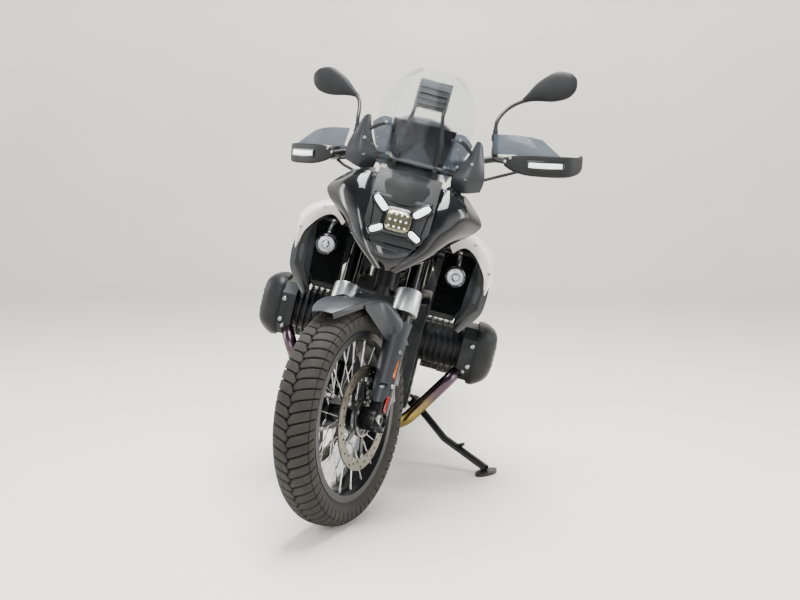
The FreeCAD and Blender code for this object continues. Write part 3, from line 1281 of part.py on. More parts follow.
def cowl_ring(shares, back):
    return [Vector(between(z.cowl_inner, z.cowl_outer, a), float(back), between(z.cowl_low, z.cowl_high, b))
            for a, b in shares]


cowl = skin(cowl_ring(COWL_FRONT_SHARES, z.cowl_front), cowl_ring(COWL_REAR_SHARES, z.cowl_rear))
WHITE_PANEL_SHARES = ((0.1, 0.85), (0.3, 1), (0.36, 1), (0.93, 0.79), (1, 0.47), (0.96, 0.47), (0.88, 0.76),
                      (0.35, 0.9))
white_ring_front = cowl_ring(WHITE_PANEL_SHARES, z.cowl_front - z.white_panel_rise)
white_ring_rear = cowl_ring(WHITE_PANEL_SHARES, z.cowl_front - z.running_gap)
white_panel = skin(white_ring_front, white_ring_rear)

fog_front = Vector(z.fog_lamp_spacing, z.fog_lamp_front, z.fog_lamp_height)
fog_lamp = Part.makeCylinder(z.fog_lamp_radius, z.fog_lamp_depth, fog_front, ALONG_Y)
fog_stay = rod(fog_front + ALONG_Y * float(z.fog_lamp_depth - z.cut_overrun),
               Vector(between(z.radiator_inner, z.radiator_outer, 0.5), z.radiator_front, z.fog_lamp_height),
               z.axle_bore_radius)
stay_start = Vector(z.radiator_inner + z.axle_nut_radius, z.radiator_front + z.radiator_thickness - z.cut_overrun,
                    z.radiator_high - z.radiator_thickness)
stay_end = Vector(z.frame_plate_inner + z.frame_plate_thickness / 2, z.frame_front + z.axle_nut_radius, stay_start.z)
radiator_stay = rod(stay_start, stay_end, z.axle_bore_radius)
radiator = single(joined(radiator, radiator_stay).cut(main_frame))
cowl = single(cowl.cut(radiator))
fog_lamp = single(joined(fog_lamp, fog_stay).cut(radiator))
solid_node("radiators", "root", radiator, mirrored(radiator))
solid_node("cowls", "root", cowl, mirrored(cowl))
solid_node("white_panels", "root", white_panel, mirrored(white_panel))
solid_node("fog_lamps", "root", fog_lamp, mirrored(fog_lamp))

# Screen, deflectors, carrier, display and navigation holder

SCREEN_STATION_SHARES = ((0, 0.64, 0), (0.3, 0.94, 0.24), (0.6, 1, 0.56), (0.86, 0.8, 0.86), (1, 0.46, 1))
SCREEN_BOW_SHARES = ((-1, 0.34), (-0.6, 0.1), (0, 0), (0.6, 0.1), (1, 0.34))


def screen_ring(rise, half_share, back_share):
    """Bowed section of the screen at one height, open to the rear and as thick as the sheet."""
    front = between(z.screen_front, z.screen_rear, back_share)
    height = between(z.screen_low, z.screen_high, rise)
    outer = [Vector(z.screen_half_width * half_share * a, front + z.screen_half_width * b, height)
             for a, b in SCREEN_BOW_SHARES]
    inner = [point + ALONG_Y * float(z.screen_thickness) for point in reversed(outer)]
    return outer + inner


screen = skin(*[screen_ring(*station) for station in SCREEN_STATION_SHARES])

DEFLECTOR_SHARES = ((0.56, 0), (0.98, 0.12), (1, 0.32), (0.83, 1), (0.72, 0.62))
deflector_low = z.screen_low - z.deflector_thickness
deflector_high = z.screen_low + z.deflector_height
deflector_points = [Vector(z.deflector_outer * a, z.nose_rear, between(deflector_low, deflector_high, b))
                    for a, b in DEFLECTOR_SHARES]
deflector = closed_face(deflector_points).extrude(Vector(0, z.deflector_thickness, 0))

# Carrier behind the screen, display, and the bracket for a navigation device

CARRIER_SHARES = ((0.62, -0.48, -0.44), (0.62, 0.07, 0.04), (0.64, 0.4, 0.5), (0.45, 0.94, 0.95), (0.45, 1.62, 1.25))
carrier_path = mapped(CARRIER_SHARES, Vector(0, z.nose_rear, z.nose_high),
                      Vector(z.display_width / 2, z.holder_setback, z.holder_low))
carrier_tube = bent_tube(carrier_path, z.holder_radius, z.carrier_radius * 4)
BEAM_NOSE_SHARES = ((0.6, 0.8), (0.6, 0.6))
beam_nose = side_outline(BEAM_NOSE_SHARES, z.nose_front, z.nose_rear, z.nose_low, z.nose_high)
beam = slab([head_point(-0.6, -1.5), head_point(-0.6, -0.2)] + beam_nose, -z.carrier_radius * 3, z.carrier_radius * 3)
low_bar = rod(Vector(-carrier_path[0].x, carrier_path[0].y, carrier_path[0].z), carrier_path[0], z.carrier_radius)
arm_end = Vector(z.screen_half_width, z.nose_rear + z.carrier_radius, z.nose_high + z.display_thickness)
screen_arm = rod(Vector(-arm_end.x, arm_end.y, arm_end.z), arm_end, z.carrier_radius)
stay_end = Vector(carrier_path[1].x, z.screen_front, arm_end.z)
screen_stay = rod(Vector(stay_end.x, arm_end.y, stay_end.z), stay_end, z.holder_radius)
carrier = joined(beam, low_bar, carrier_tube, mirrored(carrier_tube), screen_arm, screen_stay, mirrored(screen_stay))
screen = single(screen.cut(nose))
side_panel = single(side_panel.cut(screen).cut(deflector))
solid_node("side_panels", "root", side_panel, mirrored(side_panel))
carrier = single(carrier.cut(main_frame).cut(nose).cut(screen).cut(deflector).cut(mirrored(deflector)))
solid_node("windscreen", "root", screen)
solid_node("wind_deflectors", "root", deflector, mirrored(deflector))
solid_node("screen_carrier", "root", carrier)
DISPLAY_SHARES = ((0, 0.05), (0.5, 0), (1, 0.95), (0.5, 1))
display_points = side_outline(DISPLAY_SHARES, z.display_setback, z.display_setback + z.display_thickness * 2,
                              z.display_low, z.display_low + z.display_height)
display = slab(display_points, -z.display_width / 2, z.display_width / 2)
solid_node("display", "root", display.cut(carrier))
HOLDER_SHARES = ((0, 0.05), (0.2, 0), (1, 0.95), (0.8, 1))
holder_points = side_outline(HOLDER_SHARES, z.holder_setback, z.holder_setback + z.holder_depth, z.holder_low,
                             z.holder_low + z.holder_height)
holder = slab(holder_points, -z.holder_width / 2, z.holder_width / 2)
solid_node("navigation_holder", "root", holder.cut(carrier))

# Seats, subframe, rack and tail

seat_front = z.tank_rear + z.seat_gap
seat_rear = seat_front + z.seat_length
SEAT_STATION_SHARES = ((0, 0, 0.2), (0.4, 0.5, 0), (0.8, 1, 0), (1, 0.8, 0.1))
SEAT_RING_SHARES = ((-0.8, 1), (0.8, 1), (1, 0.7), (0.9, 0), (-0.9, 0), (-1, 0.7))
seat_rings = []
for along, widen, rise in SEAT_STATION_SHARES:
    half = between(z.seat_front_half_width, z.seat_rear_half_width, widen)
    seat_rings.append([Vector(half * a, between(seat_front, seat_rear, along),
                              z.seat_height - z.seat_thickness * (1 - b) + z.seat_thickness * rise * b)
                       for a, b in SEAT_RING_SHARES])
seat = skin(*seat_rings)
solid_node("rider_seat", "root", seat)

pillion_front = seat_rear + z.seat_gap
pillion_height = z.seat_height + z.pillion_step
pillion_rear = pillion_front + z.pillion_length
PILLION_STATION_SHARES = ((0, 1, 0), (0.5, 0.95, 0.15), (1, 0.7, 0.3))
pillion_rings = []
for along, half_share, rise in PILLION_STATION_SHARES:
    pillion_rings.append([Vector(z.pillion_half_width * half_share * a, between(pillion_front, pillion_rear, along),
                                 pillion_height - z.seat_thickness * (1 - b) + z.seat_thickness * rise)
                          for a, b in SEAT_RING_SHARES])
pillion = skin(*pillion_rings)
solid_node("pillion_seat", "root", pillion)

seat_floor = z.seat_height - z.seat_thickness - z.subframe_radius - z.running_gap
PILLION_RISE_SHARE = PILLION_STATION_SHARES[-1][2]
pillion_floor = pillion_height - z.seat_thickness * (1 - PILLION_RISE_SHARE) - z.subframe_radius - z.running_gap
tail_rear = pillion_rear + z.tail_length / 2
RAIL_TAPER_SHARE = 0.1


def pillion_rail(along):
    """Point of the rail just under the pillion seat, at a share of the seat's length."""
    rise = z.seat_thickness * (PILLION_RISE_SHARE * along - 1)
    return Vector(z.subframe_half_width * (1 - RAIL_TAPER_SHARE * along), pillion_front + z.pillion_length * along,
                  pillion_height + rise - z.subframe_radius - z.running_gap)


SUBFRAME_START_SHARE = 0.84
SUBFRAME_RISE_SHARE = 0.828
SUBFRAME_SEAT_SHARE = 0.6
RAIL_PILLION_SHARES = (0.25, 1.1)
subframe_points = [Vector(z.subframe_half_width, between(z.frame_front, frame_rear, SUBFRAME_START_SHARE),
                          between(z.frame_low, frame_rear_top, SUBFRAME_RISE_SHARE)),
                   Vector(z.subframe_half_width, seat_front + z.seat_length * SUBFRAME_SEAT_SHARE, seat_floor),
                   Vector(z.subframe_half_width, pillion_front + z.seat_gap * 5, seat_floor)]
subframe_points += [pillion_rail(share) for share in RAIL_PILLION_SHARES]
rail = bent_tube(subframe_points, z.subframe_radius, z.seat_thickness)
STRUT_LOW_SHARE = 0.43
strut_low = Vector(z.subframe_half_width, frame_rear - z.pivot_radius / 2,
                   between(z.frame_low, frame_rear_top, STRUT_LOW_SHARE))
strut_high = Vector(z.subframe_half_width, pillion_front, seat_floor)
lower_rail = rod(strut_low, strut_high, z.subframe_radius * 0.8)
cross_rail = Part.makeCylinder(z.subframe_radius, z.subframe_half_width * 2,
                               subframe_points[2] - Vector(z.subframe_half_width * 2, 0, 0), ALONG_X)
link_pin = Part.makeCylinder(z.subframe_radius * 0.8, plate_outer * 2, subframe_points[0] - Vector(
    z.subframe_half_width + plate_outer, 0, 0), ALONG_X)
subframe = joined(rail, mirrored(rail), lower_rail, mirrored(lower_rail), cross_rail, link_pin)
subframe = single(subframe.cut(main_frame))
solid_node("subframe", "root", subframe)

TAIL_SHARES = ((0, 0.1), (0, 0.95), (0.5, 1), (1, 0.9), (0.97, 0.45), (0.5, 0.1))
tail_low = pillion_floor - z.subframe_radius
tail_points = side_outline(TAIL_SHARES, pillion_rear + z.seat_gap, tail_rear, tail_low, tail_low + z.tail_thickness)
tail = slab(tail_points, -z.tail_half_width, z.tail_half_width)
tail = single(tail.cut(subframe))
TAIL_COVER_SEAT_SHARES = (0.035, 0.525)
TAIL_COVER_PILLION_SHARES = (0.56, 0.94)
TAIL_COVER_LOW_SHARES = ((0.915, 0.82), (0.5, 0.27), (0.15, 0), (0.05, 0.27))
under_seat = z.seat_height - z.seat_thickness - z.seat_gap
under_pillion = pillion_height - z.seat_thickness - z.subframe_radius
cover_points = [Vector(0, between(seat_front, pillion_rear, share), under_seat) for share in TAIL_COVER_SEAT_SHARES]
cover_points += [Vector(0, between(seat_front, pillion_rear, share), under_pillion)
                 for share in TAIL_COVER_PILLION_SHARES]
cover_points += side_outline(TAIL_COVER_LOW_SHARES, seat_front, pillion_rear, z.tail_cover_low, under_pillion)
tail_cover_inner = plate_outer + z.running_gap
tail_cover = slab(cover_points, tail_cover_inner, tail_cover_inner + z.tail_cover_thickness)
pin_radius = z.subframe_radius / 2
COVER_PIN_SHARE = 0.1
pin_places = [(subframe_points[1] + subframe_points[2]) / 2,
              pillion_rail(COVER_PIN_SHARE) - UPWARD * float(pin_radius)]
cover_pins = [Part.makeCylinder(pin_radius, tail_cover_inner - place.x + z.cut_overrun, place, ALONG_X)
              for place in pin_places]
tail_cover = single(joined(tail_cover, *cover_pins).cut(subframe))
solid_node("tail_unit", "root", tail, tail_cover, mirrored(tail_cover))
lamp_low = tail_points[4].z
tail_lamp = Part.makeBox(z.tail_half_width * 1.5, z.tail_lamp_thickness, z.tail_thickness * 0.4,
                         Vector(-z.tail_half_width * 0.75, tail_rear - z.tail_lamp_thickness * 0.6, lamp_low))
tail_lamp = single(tail_lamp.cut(tail))
solid_node("tail_lamp", "root", tail_lamp)

rack_height = tail_low + z.tail_thickness + z.rack_radius
rack_front = pillion_rear - z.rack_length / 2
rack_rear = rack_front + z.rack_length * 1.2
rack_path = [Vector(z.rack_half_width, rack_front, rack_height), Vector(z.rack_half_width, pillion_rear, rack_height),
             Vector(z.rack_bolt_circle * 0.6, rack_rear, rack_height)]
handle = bent_tube(rack_path, z.rack_radius, z.rack_radius * 3)
rack_root = pillion_rail(float((rack_front - pillion_front) / z.pillion_length))
front_bar_path = [rack_root, Vector(z.rack_half_width, rack_front, rack_root.z), rack_path[0]]
front_bar = bent_tube(front_bar_path, z.rack_radius, z.rack_radius * 3)
rack_plate = Part.makeBox(z.rack_bolt_circle * 1.6, z.rack_bolt_circle * 1.5, z.rack_plate_thickness,
                          Vector(-z.rack_bolt_circle * 0.8, rack_rear - z.rack_bolt_circle * 1.4,
                                 rack_height + z.rack_radius - z.rack_plate_thickness))
RACK_CENTRE = Vector(0, rack_rear - z.rack_bolt_circle * 0.65, rack_height + z.rack_radius)
RACK_BOLTS = 4
bolt_circle_radius = z.rack_bolt_circle / 2
holes = []
for number in range(RACK_BOLTS):
    angle = math.radians(360 / RACK_BOLTS * (number + 1 / 2))
    place = RACK_CENTRE + Vector(bolt_circle_radius * math.cos(angle), bolt_circle_radius * math.sin(angle), 0)
    holes.append(Part.makeCylinder(z.rack_bolt_radius, z.rack_plate_thickness + z.cut_overrun * 2,
                                   place - Vector(0, 0, z.rack_plate_thickness + z.cut_overrun), UPWARD))
rack_foot = rod(RACK_CENTRE - UPWARD * float(z.rack_plate_thickness + z.cut_overrun), RACK_CENTRE - Vector(
    0, z.rack_bolt_circle * 0.3, z.rack_radius * 2 + z.cut_overrun * 2), z.rack_radius)
rack = joined(handle, mirrored(handle), front_bar, mirrored(front_bar), rack_plate, rack_foot)
rack = rack.cut(Part.makeCompound(holes)).cut(tail).cut(subframe)
rack = single(single(rack).cut(pillion))
solid_node("luggage_rack", "root", rack)

MUD_SHARES = ((0, 0.98), (0.02, 1), (0.4, 1), (1, 0.44), (1, 0), (0.97, 0), (0.965, 0.42), (0.38, 0.95))
mud_top = tail_low - z.running_gap
mud_points = side_outline(MUD_SHARES, tail_rear - z.tail_length * 0.6, z.overall_rear, z.plate_low, mud_top)
rear_guard = slab(mud_points, -z.plate_width * 0.36, z.plate_width * 0.36)
rear_guard = single(rear_guard.cut(tail).cut(subframe))
plate_place = Vector(-z.plate_width / 2, z.overall_rear + z.running_gap, z.plate_low - z.plate_height * 0.2)
number_plate = Part.makeBox(z.plate_width, z.plate_thickness, z.plate_height, plate_place)
solid_node("number_plate", "root", number_plate)
HUGGER_STEPS = 6


def hugger_row(extra):
    """Points of the wheel cover's arch over the rear tyre, at a distance from its tread."""
    reach = z.rear_tyre_radius + extra
    angles = [math.radians(between(z.hugger_rear_angle, z.hugger_front_angle, i / HUGGER_STEPS))
              for i in range(HUGGER_STEPS + 1)]
    return [REAR_AXLE + Vector(0, reach * math.cos(angle), reach * math.sin(angle)) for angle in angles]


hugger_points = hugger_row(z.guard_clearance) + hugger_row(z.guard_clearance + z.guard_thickness)[::-1]
hugger = slab(hugger_points, -rear_half, z.arm_outer)
HUGGER_LEG_SHARES = ((-0.3, 0.5), (0.3, 0.5), (0.5, 3), (-0.2, 3))
HUGGER_LEG_PLACE_SHARE = 0.45
arm_mid = PIVOT + (REAR_AXLE - PIVOT) * HUGGER_LEG_PLACE_SHARE
hugger_leg = slab([arm_mid + Vector(0, z.arm_height * a, z.arm_height * b) for a, b in HUGGER_LEG_SHARES],
                  z.arm_outer - z.guard_thickness, z.arm_outer)
hugger = single(joined(hugger, hugger_leg).cut(swingarm).cut(rear_shock).cut(rear_caliper))
solid_node("rear_mudguards", "root", rear_guard, hugger)

# Foot controls

hanger_low = z.footpeg_height - z.pivot_radius / 2
HANGER_SHARES = ((0, 0.1), (0, 0.35), (0.45, 1), (0.75, 1), (0.5, 0.3), (0.5, 0.1), (0.2, 0))
HANGER_RISE_SHARE = 0.514
hanger_top = between(z.frame_low, frame_rear_top, HANGER_RISE_SHARE)
hanger_front = z.footpeg_setback - z.pivot_radius
hanger_rear = frame_rear + z.pivot_radius
hanger_points = side_outline(HANGER_SHARES, hanger_front, hanger_rear, hanger_low, hanger_top)
hanger_out = z.arm_outer + z.hanger_thickness
hanger = slab(hanger_points, hanger_out, hanger_out + z.hanger_thickness)
peg_place = Vector(hanger_out, z.footpeg_setback, z.footpeg_height)
peg = Part.makeCylinder(z.footpeg_radius, z.footpeg_outer - hanger_out, peg_place, ALONG_X)
hanger_pins = []
HANGER_PIN_SHARES = ((0.45, 0.72), (0.12, 0.2))
for place in side_outline(HANGER_PIN_SHARES, hanger_front, hanger_rear, hanger_low, hanger_top):
    hanger_pins.append(Part.makeCylinder(z.axle_bore_radius, hanger_out - plate_outer + z.cut_overrun,
                                         place + Vector(plate_outer - z.cut_overrun, 0, 0), ALONG_X))
rider_hanger = joined(hanger, peg, *hanger_pins)
rider_hanger = single(rider_hanger.cut(swingarm).cut(main_frame).cut(engine))
pillion_peg_place = Vector(z.subframe_half_width, z.pillion_peg_setback, z.pillion_peg_height)
pillion_peg = Part.makeCylinder(z.footpeg_radius * 0.8, z.pillion_peg_outer - z.subframe_half_width,
                                pillion_peg_place, ALONG_X)
STAY_SHARES = (0.25, 0.75)
stay_root = pillion_peg_place + ALONG_X * float(z.footpeg_radius)
pillion_stays = [rod(stay_root, strut_low + (strut_high - strut_low) * share, z.subframe_radius * 0.8)
                 for share in STAY_SHARES]
pillion_hanger = joined(pillion_peg, *pillion_stays)
passenger_rests = [hanger_side.cut(subframe).cut(rear_shock).cut(swingarm).cut(silencer)
                   for hanger_side in (pillion_hanger, mirrored(pillion_hanger))]

pedal_x = hanger_out + z.hanger_thickness + z.pedal_radius * 2
lever_pivot = Vector(pedal_x, z.footpeg_setback - z.footpeg_radius * 2, z.footpeg_height - z.footpeg_radius)
lever_knee = lever_pivot - Vector(0, z.hub_flange_radius * 2.6, z.pedal_radius)
lever_rise = UPWARD * float(z.pedal_radius)
lever_outline = [lever_pivot - lever_rise, lever_pivot + lever_rise, lever_knee + lever_rise,
                 lever_knee - lever_rise]
lever_arm = slab(lever_outline, pedal_x - z.pedal_radius, pedal_x + z.pedal_radius)
lever_boss = Part.makeCylinder(z.footpeg_radius * 0.9, pedal_x - hanger_out,
                               Vector(hanger_out + z.cut_overrun, lever_pivot.y, lever_pivot.z), ALONG_X)
toe_piece = Part.makeCylinder(z.footpeg_radius * 0.8, z.hub_flange_radius,
                              lever_knee - Vector(z.pedal_radius / 2, z.pedal_radius, 0), ALONG_X)
foot_lever = joined(lever_arm, lever_boss, toe_piece)
rider_rest = single(joined(rider_hanger, foot_lever).cut(engine).cut(swingarm).cut(main_frame))
solid_node("footrests", "root", rider_rest, mirrored(rider_rest), *passenger_rests)

# Lean and steering: both tyres and the stand's foot end on the ground

LEAN = Rotation(ALONG_Y, z.lean_angle)
STEER = Placement(Vector(), Rotation(STEER_UP, -z.steer_angle), STEER_FOOT)


def lowest(place, centre, half, bead, radius):
    """Height of the lowest point of a tyre's section rings."""
    axle_line = place.Rotation.multVec(ALONG_X)
    fall = math.sqrt(1 - axle_line.z ** 2)
    middle = place.multVec(centre)
    rings = tyre_rings(half, bead, radius)
    return min(middle.z + side * a * axle_line.z - b * fall for a, b in rings for side in (1, -1))


SETTLE_PASSES = 12


def settle():
    """Placement of the leaning machine with both tyres on the ground."""
    pitch = 0
    rise = 0
    for _ in range(SETTLE_PASSES):
        place = Placement(Vector(0, 0, rise), Rotation(ALONG_X, math.degrees(pitch)) * LEAN)
        front = lowest(place * STEER, FRONT_AXLE, front_half, z.front_bead_radius, z.front_tyre_radius)
        rear = lowest(place, REAR_AXLE, rear_half, z.rear_bead_radius, z.rear_tyre_radius)
        rise -= front
        pitch -= (rear - front) / z.wheelbase
    return place


LEANING = settle()
GROUND = LEANING.inverse()

# Side stand, drawn in the leaning frame so that its foot lies flat on the ground

stand_pivot = LEANING.multVec(Vector(z.stand_pivot_offset, z.stand_pivot_setback, z.stand_pivot_height))
foot_centre = Vector(z.stand_foot_out, z.stand_foot_setback, z.stand_foot_thickness / 2)
stand_run = foot_centre - stand_pivot
STAND_KNEE_SHARE = 0.42
knee = stand_pivot + stand_run * STAND_KNEE_SHARE - UPWARD * float(z.stand_leg_radius * 2)
leg = bent_tube([stand_pivot, knee, foot_centre + UPWARD * float(z.stand_leg_radius)], z.stand_leg_radius,
                z.stand_leg_radius * 5)
FOOT_STEPS = 16
flat_run = Vector(stand_run.x, stand_run.y, 0).normalize()
flat_side = flat_run.cross(UPWARD)
foot_rim = []
for number in range(FOOT_STEPS):
    turn = math.radians(360 * number / FOOT_STEPS)
    foot_rim.append(Vector(foot_centre.x, foot_centre.y, 0) + flat_side * (z.stand_foot_length / 2 * math.cos(turn))
                    + flat_run * (z.stand_foot_width / 2 * math.sin(turn)))
foot = closed_face(foot_rim).extrude(UPWARD * float(z.stand_foot_thickness))
spur_root = stand_pivot + stand_run * (STAND_KNEE_SHARE * 1.4) - UPWARD * float(z.stand_leg_radius)
spur_tip = spur_root + flat_run * float(z.stand_fork_width) + UPWARD * float(z.stand_leg_radius)
spur = rod(spur_root, spur_tip, z.stand_pin_radius * 0.7)
STAND_FOLDED_SHARE = Vector(0.25, 0.96, 0.12)
folded_run = LEANING.Rotation.multVec(STAND_FOLDED_SHARE)
stand_axis = stand_run.cross(folded_run).normalize()
stand_swing = math.degrees(stand_run.getAngle(folded_run))
eye_radius = z.stand_pin_radius * 2
eye_half = z.stand_fork_width / 4
stand_eye = Part.makeCylinder(eye_radius, eye_half * 2, stand_pivot - stand_axis * float(eye_half), stand_axis)
fork_start = eye_half + z.running_gap
pin_bore = Part.makeCylinder(z.stand_pin_radius + z.running_gap, z.stand_fork_width * 2,
                             stand_pivot - stand_axis * float(z.stand_fork_width), stand_axis)
stand = joined(leg, foot, spur, stand_eye)
for way in (stand_axis, -stand_axis):
    start = stand_pivot + way * float(eye_half)
    stand = stand.cut(Part.makeCylinder(z.stand_fork_width, z.stand_fork_width, start, way))
stand = single(stand.cut(pin_bore))
stand.Placement = GROUND * stand.Placement
solid_node("side_stand_leg", "side_stand", stand)

pin_half = eye_half + z.running_gap + z.hanger_thickness
pin_reach = stand_axis * float(pin_half)
stand_pin = rod(stand_pivot - pin_reach, stand_pivot + pin_reach, z.stand_pin_radius)
cheeks = [Part.makeCylinder(eye_radius, z.hanger_thickness, stand_pivot + way * float(fork_start), way)
          for way in (stand_axis, -stand_axis)]
bracket = joined(stand_pin, *cheeks)
bracket.Placement = GROUND * bracket.Placement
axis_in = GROUND.Rotation.multVec(stand_axis)
pivot_in = Vector(z.stand_pivot_offset, z.stand_pivot_setback, z.stand_pivot_height)
eye_room = Part.makeCylinder(z.stand_fork_width * 2, fork_start * 2, pivot_in - axis_in * float(fork_start), axis_in)
arms = []
for side in (1, -1):
    cheek_centre = pivot_in + axis_in * (side * float(fork_start + z.hanger_thickness / 2))
    root = Vector(z.engine_half_width - z.cut_overrun, cheek_centre.y, cheek_centre.z + eye_radius * 0.6)
    arms.append(rod(cheek_centre, root, z.hanger_thickness * 0.7).cut(eye_room))
bracket = single(joined(bracket, *arms).cut(engine))
solid_node("stand_bracket", "root", bracket)

# The origin lies on the ground under the middle of the bounding box

doc.recompute()
for body, nodes in members.items():
    for node in nodes:
        inner = node.Placement
        node.Placement = LEANING * (STEER * inner if body in ("steering", "front_wheel") else inner)
doc.recompute()
box = FreeCAD.BoundBox()
for nodes in members.values():
    for node in nodes:
        box.add(node.Shape.BoundBox)
SHIFT = Placement(Vector(-box.Center.x, -box.Center.y, 0), Rotation())
for nodes in members.values():
    for node in nodes:
        node.Placement = SHIFT * node.Placement
doc.recompute()

for item in doc.Objects:
    if "Invalid" in item.State or "Error" in item.State:
        raise RuntimeError(f"{item.Name} failed: {item.State}")
os.makedirs("parts", exist_ok=True)
for body, nodes in members.items():
    for node in nodes:
        if node.Shape.isNull() or not node.Shape.isValid():
            raise RuntimeError(f"{node.Label} has no valid shape")
        node.Shape.exportStep(f"parts/{node.Label}.step")
        print(body, node.Label, len(node.Shape.Solids), "solids", round(node.Shape.Volume / 1000), "cm3")

WHOLE = SHIFT * LEANING
STEERED = WHOLE * STEER
for title, place, point, line in (
        ("steering", WHOLE, STEER_FOOT + STEER_UP * (STEER_UP.dot(BAR_CENTRE - STEER_FOOT)), STEER_UP),
        ("front_wheel_spin", STEERED, FRONT_AXLE, ALONG_X), ("rear_wheel_spin", WHOLE, REAR_AXLE, ALONG_X),
        ("side_stand_fold", WHOLE, pivot_in, axis_in),
        ("filler_flap_open", WHOLE, filler_hinge.CenterOfMass, ALONG_X),
        ("rack", WHOLE, RACK_CENTRE, UPWARD)):
    print(title, [round(v, 3) for v in place.multVec(point)], [round(v, 6) for v in place.Rotation.multVec(line)])
print("stand swing", round(stand_swing, 2))
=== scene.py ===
import json
import math

import bmesh
import bpy
import numpy as np
from mathutils import Matrix, Vector
from mathutils.bvhtree import BVHTree

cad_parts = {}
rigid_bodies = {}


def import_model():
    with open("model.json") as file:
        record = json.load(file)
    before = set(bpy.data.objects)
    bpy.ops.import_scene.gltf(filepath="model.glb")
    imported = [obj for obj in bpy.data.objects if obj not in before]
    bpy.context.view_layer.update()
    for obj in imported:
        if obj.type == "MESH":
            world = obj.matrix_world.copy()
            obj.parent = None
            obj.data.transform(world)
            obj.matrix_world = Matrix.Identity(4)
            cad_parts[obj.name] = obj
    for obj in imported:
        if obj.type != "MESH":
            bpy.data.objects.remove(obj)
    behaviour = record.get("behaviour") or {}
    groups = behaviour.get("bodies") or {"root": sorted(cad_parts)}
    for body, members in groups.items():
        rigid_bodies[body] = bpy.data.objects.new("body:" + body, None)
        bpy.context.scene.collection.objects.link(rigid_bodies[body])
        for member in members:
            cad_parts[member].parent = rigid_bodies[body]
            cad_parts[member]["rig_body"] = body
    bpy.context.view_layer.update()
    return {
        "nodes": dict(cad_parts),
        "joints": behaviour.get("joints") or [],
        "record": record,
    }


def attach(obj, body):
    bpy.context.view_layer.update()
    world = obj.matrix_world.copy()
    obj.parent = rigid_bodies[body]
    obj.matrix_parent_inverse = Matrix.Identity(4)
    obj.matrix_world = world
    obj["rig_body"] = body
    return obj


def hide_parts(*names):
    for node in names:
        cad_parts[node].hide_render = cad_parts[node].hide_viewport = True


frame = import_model()

# Studio.
# The camera stands low before the machine, as the photograph was taken. Pale polished screed sweeps up into a wall
# behind the machine, as a studio's painted cove does, under soft white light from large diffusers.

MM = 0.001
joints = {joint["name"]: joint for joint in frame["joints"]}
front_place = np.array(joints["front_wheel_spin"]["pos_m"])
# The camera's place from the front axle and its turns in degrees
CAMERA_OFFSET = np.array((363.2, -3309.5, 762.5))
CAMERA_PITCH = 82.74
CAMERA_YAW = 3.36
CAMERA_LENS = 52
SENSOR_WIDTH = 36


def linear(colour):
    """Linear channels of an sRGB hex colour: c / 12.92 when dark, else ((c + 0.055) / 1.055) ** 2.4."""
    channels = np.array([int(colour[i:i + 2], 16) for i in (1, 3, 5)]) / 255
    bright = ((channels + 0.055) / 1.055) ** 2.4
    return (*np.where(channels <= 0.04045, channels / 12.92, bright), 1.0)


def set_inputs(tree, made, inputs):
    """Give a node's inputs, by name or in their order, their values or links from the sockets given for them."""
    for name, value in inputs.items() if isinstance(inputs, dict) else enumerate(inputs):
        if isinstance(value, bpy.types.NodeSocket):
            tree.links.new(value, made.inputs[name])
        else:
            made.inputs[name].default_value = value


def add_node(tree, kind, inputs, output=0, **settings):
    """One output of a new shader node, with the node's settings and inputs.

    A range's inputs in their order are its value, where that starts and ends, and where the result starts and ends."""
    made = tree.nodes.new(f"ShaderNode{kind}")
    for name, value in settings.items():
        setattr(made, name, value)
    set_inputs(tree, made, inputs)
    return made.outputs[output]


def new_material(name, colour, inputs={}):
    """A principled surface of one colour, with its tree, its shader and its object coordinates."""
    made = bpy.data.materials.new(name)
    made.use_nodes = True
    shader = made.node_tree.nodes["Principled BSDF"]
    set_inputs(made.node_tree, shader, {"Base Color": linear(colour), **inputs})
    return made, made.node_tree, shader, add_node(made.node_tree, "TexCoord", {}, "Object")


def per_size(size_mm):
    """Texture scale that gives one feature in a size in millimetres, on coordinates in metres: 1 / size."""
    return 1 / (size_mm * MM)


def finish(name, colours, patch_mm, roughness, grain_mm, relief_mm, inputs={}):
    """A surface whose colour and roughness drift in soft patches, with a fine grain that stands up by its relief.

    Noise of the patches' size blends the two colours between 0.35 and 0.65, and the two roughnesses between 0.3 and
    0.7. Noise of the grain's size, times the relief, is the bump's height."""
    made, tree, shader, coordinates = new_material(name, colours[0], inputs)
    patches = add_node(tree, "TexNoise", {"Vector": coordinates, "Scale": per_size(patch_mm), "Detail": 4.0})
    share = add_node(tree, "MapRange", (patches, 0.35, 0.65))
    colour = add_node(tree, "Mix", {0: share, 6: linear(colours[0]), 7: linear(colours[1])}, 2, data_type="RGBA")
    rough = add_node(tree, "MapRange", (patches, 0.3, 0.7, *roughness))
    grain = add_node(tree, "TexNoise", {"Vector": coordinates, "Scale": per_size(grain_mm), "Detail": 2.0})
    bump = add_node(tree, "Bump", {"Height": grain, "Distance": relief_mm * MM, "Strength": 1.0})
    set_inputs(tree, shader, {"Base Color": colour, "Roughness": rough, "Normal": bump})
    return made


camera_data = bpy.data.cameras.new("photo_camera")
camera_data.lens = CAMERA_LENS
camera_data.sensor_width = SENSOR_WIDTH
camera = bpy.data.objects.new("photo_camera", camera_data)
camera.location = front_place + CAMERA_OFFSET * MM
camera.rotation_euler = (math.radians(CAMERA_PITCH), 0, math.radians(CAMERA_YAW))
bpy.context.scene.collection.objects.link(camera)
bpy.context.scene.camera = camera

